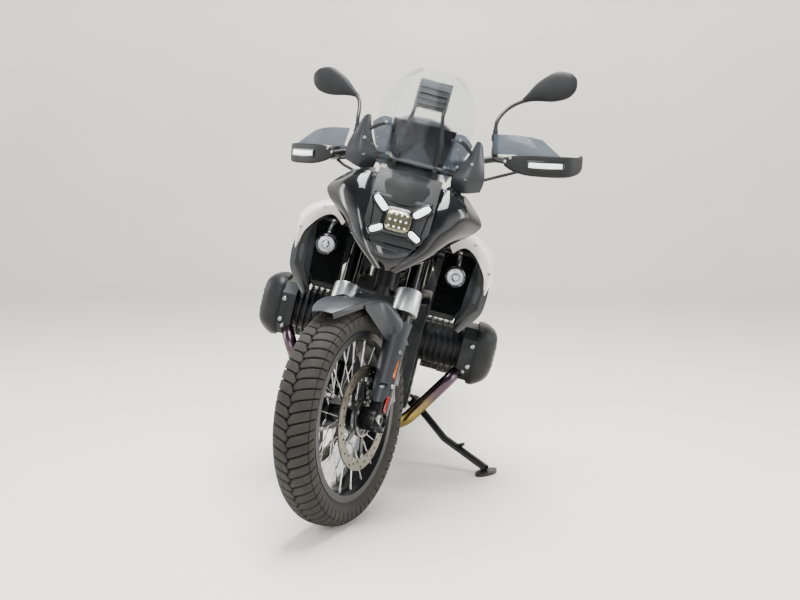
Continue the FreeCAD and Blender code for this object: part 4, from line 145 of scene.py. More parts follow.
# The cove's side view: flat floor, a quarter circle, then the wall
COVE_HALF_WIDTH = 14000
COVE_START = 4600
COVE_RADIUS = 2400
WALL_TOP = 6500
FLOOR_FRONT = -14000
cove_turn = np.linspace(0, math.pi / 2, 24)
cove_profile = np.concatenate([
    [(FLOOR_FRONT, 0)], np.stack([COVE_START + COVE_RADIUS * np.sin(cove_turn),
                                  COVE_RADIUS * (1 - np.cos(cove_turn))], 1),
    [(COVE_START + COVE_RADIUS, WALL_TOP)]])
floor_mesh = bpy.data.meshes.new("studio_floor")
floor_points = [(side * COVE_HALF_WIDTH, y, z) for y, z in cove_profile for side in (-1, 1)]
floor_strips = [(2 * i, 2 * i + 1, 2 * i + 3, 2 * i + 2) for i in range(len(cove_profile) - 1)]
floor_mesh.from_pydata((np.array(floor_points) * MM).tolist(), [], floor_strips)
floor_mesh.shade_smooth()
floor = bpy.data.objects.new("studio_floor", floor_mesh)
bpy.context.scene.collection.objects.link(floor)
# Polished screed: cloudy, a little glossy, so it gives the dark machine a soft reflection
floor_mesh.materials.append(finish("polished_screed", ("#f3f1e9", "#efede4"), 1400, (0.3, 0.36), 40, 0.01,
                                   {"IOR": 1.45}))

world = bpy.data.worlds.new("studio")
bpy.context.scene.world = world
world.use_nodes = True
sky = world.node_tree.nodes["Background"]
# White walls round the machine and a darker ceiling, so its upper faces mirror less light
wall = add_node(world.node_tree, "TexCoord", {}, "Generated")
height = add_node(world.node_tree, "SeparateXYZ", (wall,), "Z")
strength = add_node(world.node_tree, "MapRange", (height, 0.16, 0.6, 3.1, 0.4))
set_inputs(world.node_tree, sky, {"Color": linear("#ffffff"), "Strength": strength})

# Each diffuser's place and size in millimetres and its power in watts. All are aimed at the engine.
DIFFUSERS = (("overhead_diffuser", (0, -300, 3600), (1500, 3000), 400),
             ("front_diffuser", (-1500, -4200, 2600), (900, 1800), 60),
             ("left_diffuser", (3600, -600, 2000), (900, 2400), 70),
             ("right_diffuser", (-3600, 400, 2000), (900, 2400), 70))
AIM = np.array((0, 0, 700))
for name, place, size, power in DIFFUSERS:
    light = bpy.data.lights.new(name, "AREA")
    light.shape = "RECTANGLE"
    light.size, light.size_y = (side * MM for side in size)
    light.energy = power
    lamp = bpy.data.objects.new(name, light)
    lamp.location = np.array(place) * MM
    away = (np.array(place) - AIM) * MM
    lamp.rotation_euler = (math.atan2(math.hypot(*away[:2]), away[2]), 0, math.atan2(away[1], away[0]) + math.pi / 2)
    bpy.context.scene.collection.objects.link(lamp)

# The machine's own axes.
# An adventure motorcycle stands on its side stand, so it leans to its left, and its fork is turned to the right.
# Sizes are millimetres on the machine held upright and straight: left, rear and up from the ground under the
# front axle.

WHEELBASE = 1518
FRONT_RADIUS = 325.3
REAR_RADIUS = 317.9
HEAD_ANGLE = math.radians(63.8)
mounts = {mount["name"]: mount for mount in frame["record"]["mounts"]}
FRONT_AXLE = np.array((0, 0, FRONT_RADIUS))
REAR_AXLE = np.array((0, WHEELBASE, REAR_RADIUS))
LEFTWARD = np.array((1.0, 0, 0))


def unit(vector):
    """Vectors of length 1: each divided by its length."""
    vector = np.asarray(vector, float)
    return vector / np.linalg.norm(vector, axis=-1, keepdims=True)


rear_place = np.array(joints["rear_wheel_spin"]["pos_m"])
machine_left = unit(joints["rear_wheel_spin"]["axis"])
machine_up = unit(mounts["rack_bolts"]["axis"])
MACHINE_AXES = np.array([machine_left, np.cross(machine_up, machine_left), machine_up])
fork_left = unit(joints["front_wheel_spin"]["axis"])
steer_up = unit(joints["steering"]["axis"])
steer_back = np.cross(steer_up, fork_left)
FORK_AXES = np.array([fork_left, steer_back * math.sin(HEAD_ANGLE) + steer_up * math.cos(HEAD_ANGLE),
                      steer_up * math.sin(HEAD_ANGLE) - steer_back * math.cos(HEAD_ANGLE)])
# Each body's axes as rows and its origin, from the joints and mounts where the frame has them
PLACES = {"root": (MACHINE_AXES, rear_place - REAR_AXLE @ MACHINE_AXES * MM),
          "steering": (FORK_AXES, front_place - FRONT_AXLE @ FORK_AXES * MM)}
PLACES["filler_cap"] = PLACES["rear_wheel"] = PLACES["root"]
PLACES["front_wheel"] = PLACES["steering"]


def in_row(points, body):
    """Points of a piece in millimetres on the upright machine, turned and moved to where its body is at rest."""
    axes, origin = PLACES[body]
    return points @ axes * MM + origin


# Tyres.
# Adventure tyres of dark rubber, moulded in one with their tread: slanting blocks meet in a zigzag at the middle,
# and a thin groove parts them from the shoulder blocks. The sidewalls carry rings and a bare place.

# The section from the bead round to the crown, in shares of half the width and of the height over the bead
TYRE_SECTION = ((0.74, 0), (0.76, 0.12), (0.96, 0.36), (1, 0.56), (0.93, 0.76), (0.62, 0.935), (0.22, 1))
BLOCK_PITCH = 31.5
GROOVE_DEPTH = 6.5
GROOVE_WIDTH = 5.4
AROUND_TYRE = 1280
ACROSS_TYRE = 68
# The tread takes this share of the section's length and this share of the points across it
TREAD_SHARE = 0.72
TREAD_POINTS = 0.78
# Fine rings stand up from the sidewall, this far beyond the tread and this far from one another
RING_START = 14
RING_PITCH = 9
RING_WIDTH = 3.0
RING_HEIGHT = 0.8


def spline_weights(count, samples, closed=False):
    """Weights of a curve through its points: each span blends four points by the Catmull-Rom cubics in t."""
    spans = count if closed else count - 1
    along = np.linspace(0, spans, samples, endpoint=not closed)
    span = np.minimum(along.astype(int), spans - 1)
    t = along - span
    cubics = np.stack([-t + 2 * t**2 - t**3, 2 - 5 * t**2 + 3 * t**3, t + 4 * t**2 - 3 * t**3, t**3 - t**2]) / 2
    weights = np.zeros((samples, count))
    for step, cubic in enumerate(cubics, start=-1):
        spot = (span + step) % count if closed else np.clip(span + step, 0, count - 1)
        np.add.at(weights, (np.arange(samples), spot), cubic)
    return weights


def grid_faces(rows, columns, close_rows=False, close_columns=False):
    """Quads between the neighbours of a grid of points, joined round where it closes."""
    row = np.arange(rows if close_rows else rows - 1)[:, None]
    column = np.arange(columns if close_columns else columns - 1)[None]
    below, beside = (row + 1) % rows, (column + 1) % columns
    corners = (row * columns + column, below * columns + column, below * columns + beside, row * columns + beside)
    return np.stack(corners, -1).reshape(-1, 4)


def outward(points, blocks):
    """A closed shape with its faces turned out: their signed volume, summed over fans of triangles, is above 0."""
    volume = 0
    for block in blocks:
        for corner in range(1, block.shape[1] - 1):
            edges = np.cross(points[block[:, corner]], points[block[:, corner + 1]])
            volume += np.einsum("ij,ij->", points[block[:, 0]], edges)
    return (points, blocks) if volume > 0 else (points, [block[:, ::-1] for block in blocks])


def piece(name, shape, material, body, sharp_angle=35, edge_mm=0, replaced=()):
    """A piece from points in millimetres on the upright machine and blocks of faces, riding on its body.

    Its sharp edges can be rounded, and it can take the place of nodes."""
    points, blocks = shape
    mesh = bpy.data.meshes.new(name)
    mesh.from_pydata(in_row(points, body).tolist(), [], [face for block in blocks for face in block.tolist()])
    mesh.polygons.foreach_set("use_smooth", np.ones(len(mesh.polygons), bool))
    mesh.set_sharp_from_angle(angle=math.radians(sharp_angle))
    mesh.materials.append(material)
    made = bpy.data.objects.new(name, mesh)
    bpy.context.scene.collection.objects.link(made)
    if edge_mm:
        rounding = made.modifiers.new("rounding", "BEVEL")
        rounding.width = edge_mm * MM
        rounding.segments = 2
        rounding.limit_method = "ANGLE"
        rounding.angle_limit = math.radians(sharp_angle)
        rounding.harden_normals = True
    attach(made, body)
    if replaced:
        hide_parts(*replaced)
    return made


def groove(distance, width):
    """Share of the full depth at a distance from a groove's middle: 1 within a third of its width, 0 beyond it."""
    return np.clip(1.5 - 1.5 * np.abs(distance) / (width / 2), 0, 1)


def nearest(phase):
    """Signed distance of a phase from the nearest whole number."""
    return phase - np.round(phase)


def tread_depth(along, across, half_width):
    """Depth of the tread pattern at a length round the tyre and a length across it from its middle.

    Slanted grooves run out from a zigzag middle groove, those of one side half a pitch from the other's,
    and bend at the shoulder line, where a thin ring groove crosses them."""
    phase = along / BLOCK_PITCH
    side = np.sign(across)
    out = np.abs(across) / half_width
    slant = 0.95 * out**0.8 + 0.25 * side
    cross_grooves = groove(nearest(phase - slant) * BLOCK_PITCH, GROOVE_WIDTH)
    zigzag = half_width * 0.07 * (4 * np.abs(nearest(phase + 0.25)) - 1)
    middle = groove(across - zigzag, GROOVE_WIDTH * 0.8)
    shoulder = groove((out - 0.66) * half_width, GROOVE_WIDTH * 0.7) * 0.6
    return np.maximum(np.maximum(cross_grooves, middle), shoulder)


def tyre(name, body, axle, half_width, bead_radius, radius, node):
    """Closed ring whose section is a smooth curve through the sidewall and crown, cut down by its tread."""
    half = np.array([(half_width * a, bead_radius + (radius - bead_radius) * b) for a, b in TYRE_SECTION])
    whole = np.concatenate([half * (-1, 1), half[::-1]])
    fine = spline_weights(len(whole), 600) @ whole
    length = np.concatenate([[0], np.cumsum(np.linalg.norm(np.diff(fine, axis=0), axis=1))])
    share = np.linspace(-1, 1, ACROSS_TYRE)
    share = np.sign(share) * np.interp(np.abs(share), (0, TREAD_POINTS, 1), (0, TREAD_SHARE, 1))
    spots = (share + 1) / 2 * length[-1]
    section = np.stack([np.interp(spots, length, fine[:, i]) for i in (0, 1)], 1)
    across = spots - length[-1] / 2
    normal = unit(np.stack([-np.gradient(section[:, 1]), np.gradient(section[:, 0])], 1))
    turn = np.linspace(0, 2 * math.pi, AROUND_TYRE, endpoint=False)[:, None]
    pitches = round(2 * math.pi * radius / BLOCK_PITCH)
    along = turn / (2 * math.pi) * pitches * BLOCK_PITCH
    tread_half = TREAD_SHARE * length[-1] / 2
    inside = np.clip((tread_half - np.abs(across)) / 6, 0, 1)
    depth = tread_depth(along, across, tread_half) * inside
    rings = RING_HEIGHT * groove(across % RING_PITCH - RING_PITCH / 2, RING_WIDTH)
    rings = rings * (np.abs(across) > tread_half + RING_START) * (section[:, 1] < radius * 0.9)
    cut = depth * GROOVE_DEPTH - rings
    offset = section[None, :, 0] - normal[None, :, 0] * cut
    reach = section[None, :, 1] - normal[None, :, 1] * cut
    inner = np.array([(half_width * a, bead_radius + b) for a, b in ((0.7, 2), (0.5, 10), (-0.5, 10), (-0.7, 2))])
    ones = np.ones_like(turn)
    offset = np.concatenate([offset, ones * inner[:, 0]], 1)
    reach = np.concatenate([reach, ones * inner[:, 1]], 1)
    points = np.stack([offset, reach * np.sin(turn), reach * np.cos(turn)], -1).reshape(-1, 3) + axle
    made = piece(name, outward(points, [grid_faces(*offset.shape, True, True)]), tyre_rubber, body, 50,
                 replaced=(node,))
    depth = np.concatenate([depth, np.zeros((AROUND_TYRE, len(inner)))], 1)
    made.data.attributes.new("groove", "FLOAT", "POINT").data.foreach_set("value", depth.astype(np.float32).ravel())


# Tyre rubber: brown-grey road dust on the blocks, in paler and darker patches of 45 mm, and painted shade in the
# grooves, which go near black with their depth
tyre_rubber, tree, shader, coordinates = new_material("moulded_tyre_rubber", "#2b2a28", {"Specular IOR Level": 0.2})
depth = add_node(tree, "Attribute", {}, "Fac", attribute_name="groove")
dust = add_node(tree, "TexNoise", {"Vector": coordinates, "Scale": per_size(45), "Detail": 6.0})
dusty = add_node(tree, "MapRange", (dust, 0.35, 0.7))
block = add_node(tree, "Mix", {0: dusty, 6: linear("#252422"), 7: linear("#34322e")}, 2, data_type="RGBA")
# Painted shade: the deeper the groove at a corner, the nearer its colour goes to black
cut = add_node(tree, "MapRange", (depth, 0.1, 0.7))
colour = add_node(tree, "Mix", {0: cut, 6: block, 7: linear("#0d0d0c")}, 2, data_type="RGBA")
rough = add_node(tree, "MapRange", (dust, 0.3, 0.7, 0.62, 0.85))
grain = add_node(tree, "TexNoise", {"Vector": coordinates, "Scale": per_size(1.2), "Detail": 3.0})
bump = add_node(tree, "Bump", {"Height": grain, "Distance": 0.12 * MM, "Strength": 1.0})
set_inputs(tree, shader, {"Base Color": colour, "Roughness": rough, "Normal": bump})
tyre("front_tyre_tread", "front_wheel", FRONT_AXLE, 60, 241.3, FRONT_RADIUS, "front_tyre")
tyre("rear_tyre_tread", "rear_wheel", REAR_AXLE, 85, 215.9, REAR_RADIUS, "rear_tyre")

# Wire wheels.
# Black powder-coated aluminium rims on crossed stainless spokes. Each spoke ends in a plated nipple at the rim,
# and bolts hold the drilled steel discs to black carriers on the hubs.


def dress(material, *nodes):
    """Give carried-over pieces of the frame their finish."""
    for node in nodes:
        slots = frame["nodes"][node].data.materials
        slots.clear()
        slots.append(material)


def body_coordinates(tree, coordinates, body, centre=(0, 0, 0)):
    """Coordinates in metres along the upright machine's axes from a point on a body given in millimetres."""
    axes, origin = PLACES[body]
    start = origin + np.asarray(centre) @ axes * MM
    return add_node(tree, "Mapping", {"Vector": coordinates, "Rotation": Matrix(axes.tolist()).to_euler(),
                                      "Location": -axes @ start})


def two_tone(name, body, centre, inner, outer, band, rest):
    """Turned part in two finishes, each a colour, a metallic share and a roughness: one between two radii.

    The radius is the length of the coordinates without their part along the axle. Noise of the radius alone, times
    the roughness, leaves the lathe's rings."""
    made, tree, shader, coordinates = new_material(name, band[0])
    local = body_coordinates(tree, coordinates, body, centre)
    flat = add_node(tree, "VectorMath", (local, (0, 1, 1)), operation="MULTIPLY")
    reach = add_node(tree, "VectorMath", (flat,), "Value", operation="LENGTH")
    above, below = (add_node(tree, "MapRange", (reach, (radius - soft) * MM, (radius + soft) * MM))
                    for radius, soft in ((inner, 0.4), (outer, -0.4)))
    mask = add_node(tree, "Math", (above, below), operation="MULTIPLY")
    rings = add_node(tree, "TexNoise", {"W": reach, "Scale": per_size(1.5), "Detail": 2.0}, noise_dimensions="1D")
    patches = add_node(tree, "TexNoise", {"Vector": coordinates, "Scale": per_size(30)})
    colour = add_node(tree, "Mix", {0: mask, 6: linear(rest[0]), 7: linear(band[0])}, 2, data_type="RGBA")
    value = add_node(tree, "MapRange", (patches, 0.3, 0.7, 0.85, 1.1))
    metallic, rough = (add_node(tree, "MapRange", (mask, 0, 1, rest[i], band[i])) for i in (1, 2))
    lathe = add_node(tree, "MapRange", (rings, 0.3, 0.7, 0.75, 1.25))
    set_inputs(tree, shader, {"Base Color": add_node(tree, "HueSaturation", {"Color": colour, "Value": value}),
                              "Metallic": metallic,
                              "Roughness": add_node(tree, "Math", (rough, lathe), operation="MULTIPLY")})
    return made


def merged(*shapes):
    """One shape of several: their points in a row, and each one's faces counted on from where its points start."""
    starts = np.cumsum([0] + [len(points) for points, blocks in shapes])
    blocks = [block + start for (points, blocks), start in zip(shapes, starts) for block in blocks]
    return np.concatenate([points for points, blocks in shapes]), blocks


def mirrored(shape):
    """The same shape on the machine's other side: X changes sign, and its faces run the other way round."""
    points, blocks = shape
    return points * (-1, 1, 1), [block[:, ::-1] for block in blocks]


def both(shape):
    """A shape and its mirror image."""
    return merged(shape, mirrored(shape))


def capped(rings):
    """Closed body through rings of points: quads from ring to ring, and a flat face over the first and the last."""
    rows, columns = rings.shape[:2]
    first = np.arange(columns)[None]
    blocks = [grid_faces(rows, columns, False, True), first, first[:, ::-1] + (rows - 1) * columns]
    return outward(rings.reshape(-1, 3), blocks)


def beside(axis):
    """Two directions square to each axis: its cross product with X or Y, then its cross product with that."""
    axis = unit(axis)
    other = np.where(np.abs(axis[..., :1]) < 0.8, (1.0, 0, 0), (0, 1.0, 0))
    across = unit(np.cross(axis, other))
    return across, np.cross(axis, across)


def carried_round(section, place, axis, around):
    """Grid of points: each radius and height of a section carried round an axis in a circle."""
    radius, height = np.asarray(section, float).T[..., None, None]
    across, over = beside(axis)
    turn = np.linspace(0, 2 * math.pi, around, endpoint=False)[None, :, None]
    return radius * (np.cos(turn) * across + np.sin(turn) * over) + height * unit(axis) + np.asarray(place)


def turned(profile, place, axis, around=48):
    """Body turned about an axis: a circle of each radius of the profile at each of its heights, and flat ends."""
    return capped(carried_round(profile, place, axis, around))


def ring(section, place, axis, around=96):
    """Ring turned about an axis from a closed section of radii and heights."""
    points = carried_round(section, place, axis, around).reshape(-1, 3)
    return outward(points, [grid_faces(len(section), around, True, True)])


def repeated(shape, places, axes):
    """Copies of a small shape, its Z along each axis at each place: place + x across + y over + z along."""
    points, blocks = shape
    places = np.asarray(places, float)
    axes = np.broadcast_to(unit(axes), places.shape)
    across, over = beside(axes)
    spots = places[:, None] + points @ np.stack([across, over, axes], 1)
    starts = np.arange(len(places))[:, None, None] * len(points)
    return spots.reshape(-1, 3), [(block[None] + starts).reshape(-1, block.shape[1]) for block in blocks]


def socket_bolt(radius):
    """Button head with a socket in it, standing on its own zero: a profile in shares of its radius, turned about Z."""
    profile = ((1, -0.3), (1, 0.3), (0.72, 0.62), (0.5, 0.64), (0.46, 0.25), (0.05, 0.2))
    return turned([(radius * a, radius * b) for a, b in profile], (0, 0, 0), (0, 0, 1), 12)


def spoke_ends(half_width, rim_radius, hub_offset, hub_radius):
    """Outer and inner ends of the crossing spokes, as the frame's wheels have them.

    On each side the outer ends are evenly spaced, and each inner end leads or lags by 0.92 of a spacing in turn."""
    number = np.arange(SPOKES)
    ends = []
    for side in (1, -1):
        rim_angle = np.radians(number * 360 / SPOKES + side * 90 / SPOKES)
        hub_angle = rim_angle + np.radians(360 / SPOKES * 0.92) * np.where(number % 2, 1, -1)
        flat = np.ones(SPOKES) * side
        outer = np.stack([flat * half_width, rim_radius * np.cos(rim_angle), rim_radius * np.sin(rim_angle)], 1)
        inner = np.stack([flat * hub_offset, hub_radius * np.cos(hub_angle), hub_radius * np.sin(hub_angle)], 1)
        ends.append((outer, inner))
    return np.concatenate([outer for outer, inner in ends]), np.concatenate([inner for outer, inner in ends])


def bolted(name, places, axis, radius, body, pair=True):
    """Button bolts standing at places along an axis, on both sides of the machine if they are a pair."""
    heads = repeated(socket_bolt(radius), places, axis)
    return piece(name, both(heads) if pair else heads, zinc_steel, body)


# Zinc-plated steel of bolts and small brackets: bright, with dull spots a few millimetres wide
zinc_steel = finish("zinc_plated_steel", ("#a2a3a4", "#8c8d8f"), 12, (0.25, 0.4), 0.9, 0.01, {"Metallic": 1.0})
# Stainless steel sheet, drawn and brushed: soft highlights that spread along it
stainless = finish("brushed_stainless", ("#8f8e8b", "#7c7b78"), 50, (0.24, 0.38), 0.7, 0.01, {"Metallic": 1.0})
# Turned and bead-blasted aluminium under clear anodising: silver with a fine even sheen
silver_aluminium = finish("clear_anodised_aluminium", ("#b9babb", "#a8a9ab"), 35, (0.26, 0.36), 0.8, 0.01,
                          {"Metallic": 0.95})
dress(silver_aluminium, "front_axle")
SPOKES = 20
# Colour, metallic share and roughness of the powder coat, the drawn spoke wire and the discs' worn steel, which
# each show between two radii
BLACK_COAT = ("#101114", 0.2, 0.34)
SPOKE_STEEL = ("#c9cacb", 1.0, 0.2)
DISC_STEEL = ("#6f6b60", 1.0, 0.3)
for wheel, axle, node, finish_name, inner, outer, steel in (
        ("front", FRONT_AXLE, "front_rim", "rim_coat_and_spoke_steel", 47, 219, SPOKE_STEEL),
        ("rear", REAR_AXLE, "rear_rim", "rim_coat_and_spoke_steel", 47, 193, SPOKE_STEEL),
        ("front", FRONT_AXLE, "front_discs", "disc_steel_and_coat", 118, 160, DISC_STEEL),
        ("rear", REAR_AXLE, "rear_disc", "disc_steel_and_coat", 105, 150, DISC_STEEL)):
    dress(two_tone(f"{wheel}_{finish_name}", f"{wheel}_wheel", axle, inner, outer, steel, BLACK_COAT), node)
NIPPLE = ((3.4, -3), (3.4, 9), (2.6, 12), (2.6, 17))
for wheel, axle, half_width, rim_radius in (("front", FRONT_AXLE, 32.2, 231), ("rear", REAR_AXLE, 45.5, 205.6)):
    outer, inner = spoke_ends(half_width, rim_radius, 31, 43)
    away = unit(inner - outer)
    nipples = repeated(turned(NIPPLE, (0, 0, 0), (0, 0, 1), 8), outer + away * 10 + axle, away)
    piece(f"{wheel}_spoke_nipples", nipples, zinc_steel, f"{wheel}_wheel")

# Bolts stand on the discs' outer faces, at these distances from the axle's line and from the machine's middle
BOBBIN_REACH = 113
HUB_BOLT_REACH = 46
DISC_FACE = 68.5
arms = np.radians(90 - np.arange(6) * 60)


def on_disc(reach, angles, axle, face):
    """Places round an axle at a distance from its line, on a face this far out: reach * cos back, reach * sin up."""
    flat = np.ones_like(angles)
    return np.stack([flat * face, reach * np.cos(angles), reach * np.sin(angles)], 1) + axle


front_bolts = merged(repeated(socket_bolt(8), on_disc(BOBBIN_REACH, arms, FRONT_AXLE, DISC_FACE), LEFTWARD),
                     repeated(socket_bolt(6), on_disc(HUB_BOLT_REACH, arms, FRONT_AXLE, DISC_FACE), LEFTWARD))
piece("front_disc_bolts", both(front_bolts), zinc_steel, "front_wheel")
bolted("rear_disc_bolts", on_disc(102, arms, REAR_AXLE, 64), -LEFTWARD, 8, "rear_wheel", pair=False)
# Ring of brushed steel on each front disc's hub, which the wheel's speed is read from
speed_ring = ring(((52, 69), (56, 69), (56, 72), (52, 72)), FRONT_AXLE, LEFTWARD)
piece("speed_rings", both(speed_ring), stainless, "front_wheel")

# Front mudguard.
# One moulding of painted plastic: an arch over the tyre with a cover down the front of each fork leg, bolted to
# the leg from its side.


def panel(net, thickness, rows=28, columns=28):
    """Moulded sheet: a smooth surface through a net of points, and the same surface a thickness behind it.

    The surface is the net's points weighted by the spline along its rows and its columns. The one behind it is moved
    by the thickness along the cross product of the surface's two gradients."""
    net = np.asarray(net, float)
    outer = np.einsum("ri,cj,ijk->rck", spline_weights(net.shape[0], rows), spline_weights(net.shape[1], columns), net)
    normal = unit(np.cross(np.gradient(outer, axis=0), np.gradient(outer, axis=1)))
    inner = (outer - normal * thickness)[:, ::-1]
    width = 2 * columns
    near = np.arange(columns - 1)
    caps = [np.stack([near, near + 1, width - 2 - near, width - 1 - near], 1) + row * width for row in (0, rows - 1)]
    blocks = [grid_faces(rows, width, False, True), caps[0], caps[1][:, ::-1]]
    return outward(np.concatenate([outer, inner], 1).reshape(-1, 3), blocks)


def squared_round(around, squareness):
    """Superellipse of half width 1 at even turns t: x = sign(cos t) |cos t| ** s and y = sign(sin t) |sin t| ** s."""
    turn = np.linspace(0, 2 * math.pi, around, endpoint=False)
    return [np.sign(wave) * np.abs(wave) ** squareness for wave in (np.cos(turn), np.sin(turn))]


def pad(place, across, up, half_width, half_height, depth, squareness=0.35, around=36):
    """Cushion-edged plate: superellipse rings that are drawn in as they rise."""
    across, up = unit(across), unit(up)
    wide, high = squared_round(around, squareness)
    inset, rise = np.array(((0, 0), (0, 0.55), (0.08, 0.85), (0.3, 1))).T[..., None, None]
    inset = inset * min(half_width, half_height)
    return capped(np.asarray(place) + (half_width - inset) * wide[:, None] * across
                  + (half_height - inset) * high[:, None] * up + np.cross(across, up) * rise * depth)


# The legs' distance from the middle and how far they stand behind the axle, square to the steering's axis
FORK_SPACING = 106
FORK_SETBACK = 8
SLIDER_RADIUS = 29
SLIDER_LENGTH = 333
LEG_UP = np.array((0, math.cos(HEAD_ANGLE), math.sin(HEAD_ANGLE)))
LEG_BACK = np.array((0, math.sin(HEAD_ANGLE), -math.cos(HEAD_ANGLE)))
GUARD_RADIUS = 342


def on_fork(across, back, rise):
    """Point across from the fork's middle, back from its legs and up along them from the axle."""
    return (FRONT_AXLE + LEG_BACK * FORK_SETBACK + np.multiply.outer(np.asarray(across, float), (1.0, 0, 0))
            + np.multiply.outer(np.asarray(back, float), LEG_BACK) + np.multiply.outer(np.asarray(rise, float), LEG_UP))


# Graphite body paint over plastic: dark, under a satin lacquer that spreads the light into soft bands
graphite_lacquer = finish("graphite_lacquer", ("#191b1f", "#1f2126"), 200, (0.34, 0.42), 2.5, 0.004,
                          {"Specular IOR Level": 0.35, "Coat Weight": 0.12, "Coat Roughness": 0.25})
# Polished black ABS: nearly a mirror, with the faint swirl that cloths leave
black_abs = finish("polished_black_abs", ("#08080a", "#0d0e10"), 90, (0.06, 0.14), 6, 0.002,
                   {"Specular IOR Level": 0.4, "Coat Weight": 0.1, "Coat Roughness": 0.05})
# The arch: its half width, crown and rise off the tyre at angles up from straight behind the axle
ARCH = ((34, 56, 1, 6), (52, 66, 3, 4), (72, 71, 5, 1), (90, 72, 6, 0), (102, 66, 7, 2), (111, 54, 8, 6),
        (118, 34, 8, 12))
# The arch's edges turn in towards the tyre by this
ARCH_LIP = 16
angle, half_width, crown, lift = np.array(ARCH, float).T[..., None]
share = np.array((-1, -0.94, -0.6, 0, 0.6, 0.94, 1))
reach = GUARD_RADIUS + lift + crown * (1 - share**2) - ARCH_LIP * (np.abs(share) == 1)
turn = np.radians(angle)
arch_net = np.stack([half_width * share, reach * np.cos(turn), FRONT_RADIUS + reach * np.sin(turn)], -1)
mudguard_arch = panel(arch_net, 3.2, 60, 40)

# The leg cover's rows: share of the slider's length, angles round the leg from its inner side by its front to its
# outer side, and distance from the leg's middle
LEG_COVER = ((0.14, -10, 30, 36), (0.24, -30, 50, 37), (0.4, -38, 46, 38), (0.6, -44, 56, 39), (0.8, -54, 68, 40),
             (0.9, -58, 72, 42))
share, start, end, reach = np.array(LEG_COVER, float).T[..., None]
turn = np.radians(start + (end - start) * np.linspace(0, 1, 7))
cover_net = on_fork(FORK_SPACING + reach * np.sin(turn), -reach * np.cos(turn), SLIDER_LENGTH * share)
leg_cover = panel(cover_net, 3.5, 40, 24)
# The shoulder that joins the arch to a leg cover, from the arch's edge outward and down
SHOULDER = (((64, -44, 663), (69, -43, 656), (71, -42, 650), (71, -40, 645)),
            ((54, 22, 669), (74, 36, 656), (90, 62, 612), (98, 86, 536)),
            ((60, 76, 668), (90, 72, 654), (113, 83, 608), (131, 95, 536)),
            ((58, 122, 657), (91, 101, 645), (124, 102, 606), (143, 116, 536)))
shell = merged(mudguard_arch, both(leg_cover), both(panel(SHOULDER, 3.5)))
piece("mudguard_shell", shell, graphite_lacquer, "steering", edge_mm=1,
      replaced=("front_mudguard",))
vent_place = on_fork(FORK_SPACING + 12, -SLIDER_RADIUS - 8, SLIDER_LENGTH * 0.29)
vent = pad(vent_place, (1, 0.25, 0), LEG_UP, 15, 10, 3, 1.0)
piece("leg_cover_vents", both(vent), black_abs, "steering", edge_mm=0.5)
cover_bolts = on_fork(FORK_SPACING + 30, [-25.0, -25.0], [SLIDER_LENGTH * 0.62, SLIDER_LENGTH * 0.84])
bolted("mudguard_bolts", cover_bolts, (0.77, -0.57, 0.28), 6, "steering")

# Fork, its bridges, brakes and hoses.
# Black anodised legs slide on hard-coated tubes, with silver collars under a cast bridge. Radial calipers bite on
# the discs behind the legs, and hoses run up to the bar.


def drawn_in(node, inset, name, flat_angle=0):
    """A merged copy of a carried-over node's shape, its flat faces whole if asked, set in from its faces.

    Each corner moves in along its normal by the inset times its shell factor, which is 1 / cosine of the angle to its
    faces, held to 1.6."""
    work = bmesh.new()
    work.from_mesh(frame["nodes"][node].data)
    bmesh.ops.remove_doubles(work, verts=work.verts, dist=0.01 * MM)
    if flat_angle:
        bmesh.ops.dissolve_limit(work, angle_limit=math.radians(flat_angle), verts=work.verts, edges=work.edges)
    if inset:
        work.normal_update()
        for corner in work.verts:
            corner.co -= corner.normal * min(corner.calc_shell_factor(), 1.6) * inset * MM
    made = bpy.data.objects.new(name, bpy.data.meshes.new(name))
    work.to_mesh(made.data)
    work.free()
    bpy.context.scene.collection.objects.link(made)
    return made


def softened(node, material, width, inset=0):
    """A copy of a carried-over node with its sharper edges rounded by a bevel, set in from its faces if asked."""
    made = drawn_in(node, inset, f"{node}_shell", 1)
    made.data.polygons.foreach_set("use_smooth", np.ones(len(made.data.polygons), bool))
    made.data.materials.clear()
    made.data.materials.append(material)
    rounding = made.modifiers.new("rounding", "BEVEL")
    rounding.width = width * MM
    rounding.segments = 3
    rounding.limit_method = "ANGLE"
    rounding.angle_limit = math.radians(22)
    rounding.harden_normals = True
    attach(made, frame["nodes"][node]["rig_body"])
    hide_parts(node)


# Gloss-anodised black aluminium of fork legs and calipers: dark metal with a broad clean highlight
black_anodised = finish("black_anodised_aluminium", ("#0c0c0e", "#141517"), 40, (0.22, 0.32), 0.9, 0.008,
                        {"Metallic": 0.5})
# Powder coat on steel tube and aluminium plate: satin black with orange peel of about 2 mm
powder_coat = finish("powder_coat", ("#0a0b0c", "#101113"), 120, (0.36, 0.46), 2.2, 0.03,
                     {"Specular IOR Level": 0.35})
# Hard-coated fork tube: black, ground and lapped, so it mirrors in a sharp line
lapped_black = finish("hard_coated_tube", ("#050506", "#0a0a0c"), 50, (0.08, 0.14), 1.5, 0.001, {"Metallic": 0.6})
# Black rubber of hoses, grips and sleeves: dull, and paler where it is rubbed
black_rubber = finish("black_rubber", ("#121212", "#1b1b1b"), 18, (0.55, 0.75), 0.8, 0.04)
dress(lapped_black, "fork_stanchions")
dress(black_rubber, "brake_hoses")
dress(powder_coat, "front_suspension")
softened("fork_sliders", black_anodised, 2)
softened("fork_collars", silver_aluminium, 3)
softened("fork_bridges", powder_coat, 4)
softened("front_calipers", black_anodised, 3)
softened("rear_caliper", black_anodised, 3)

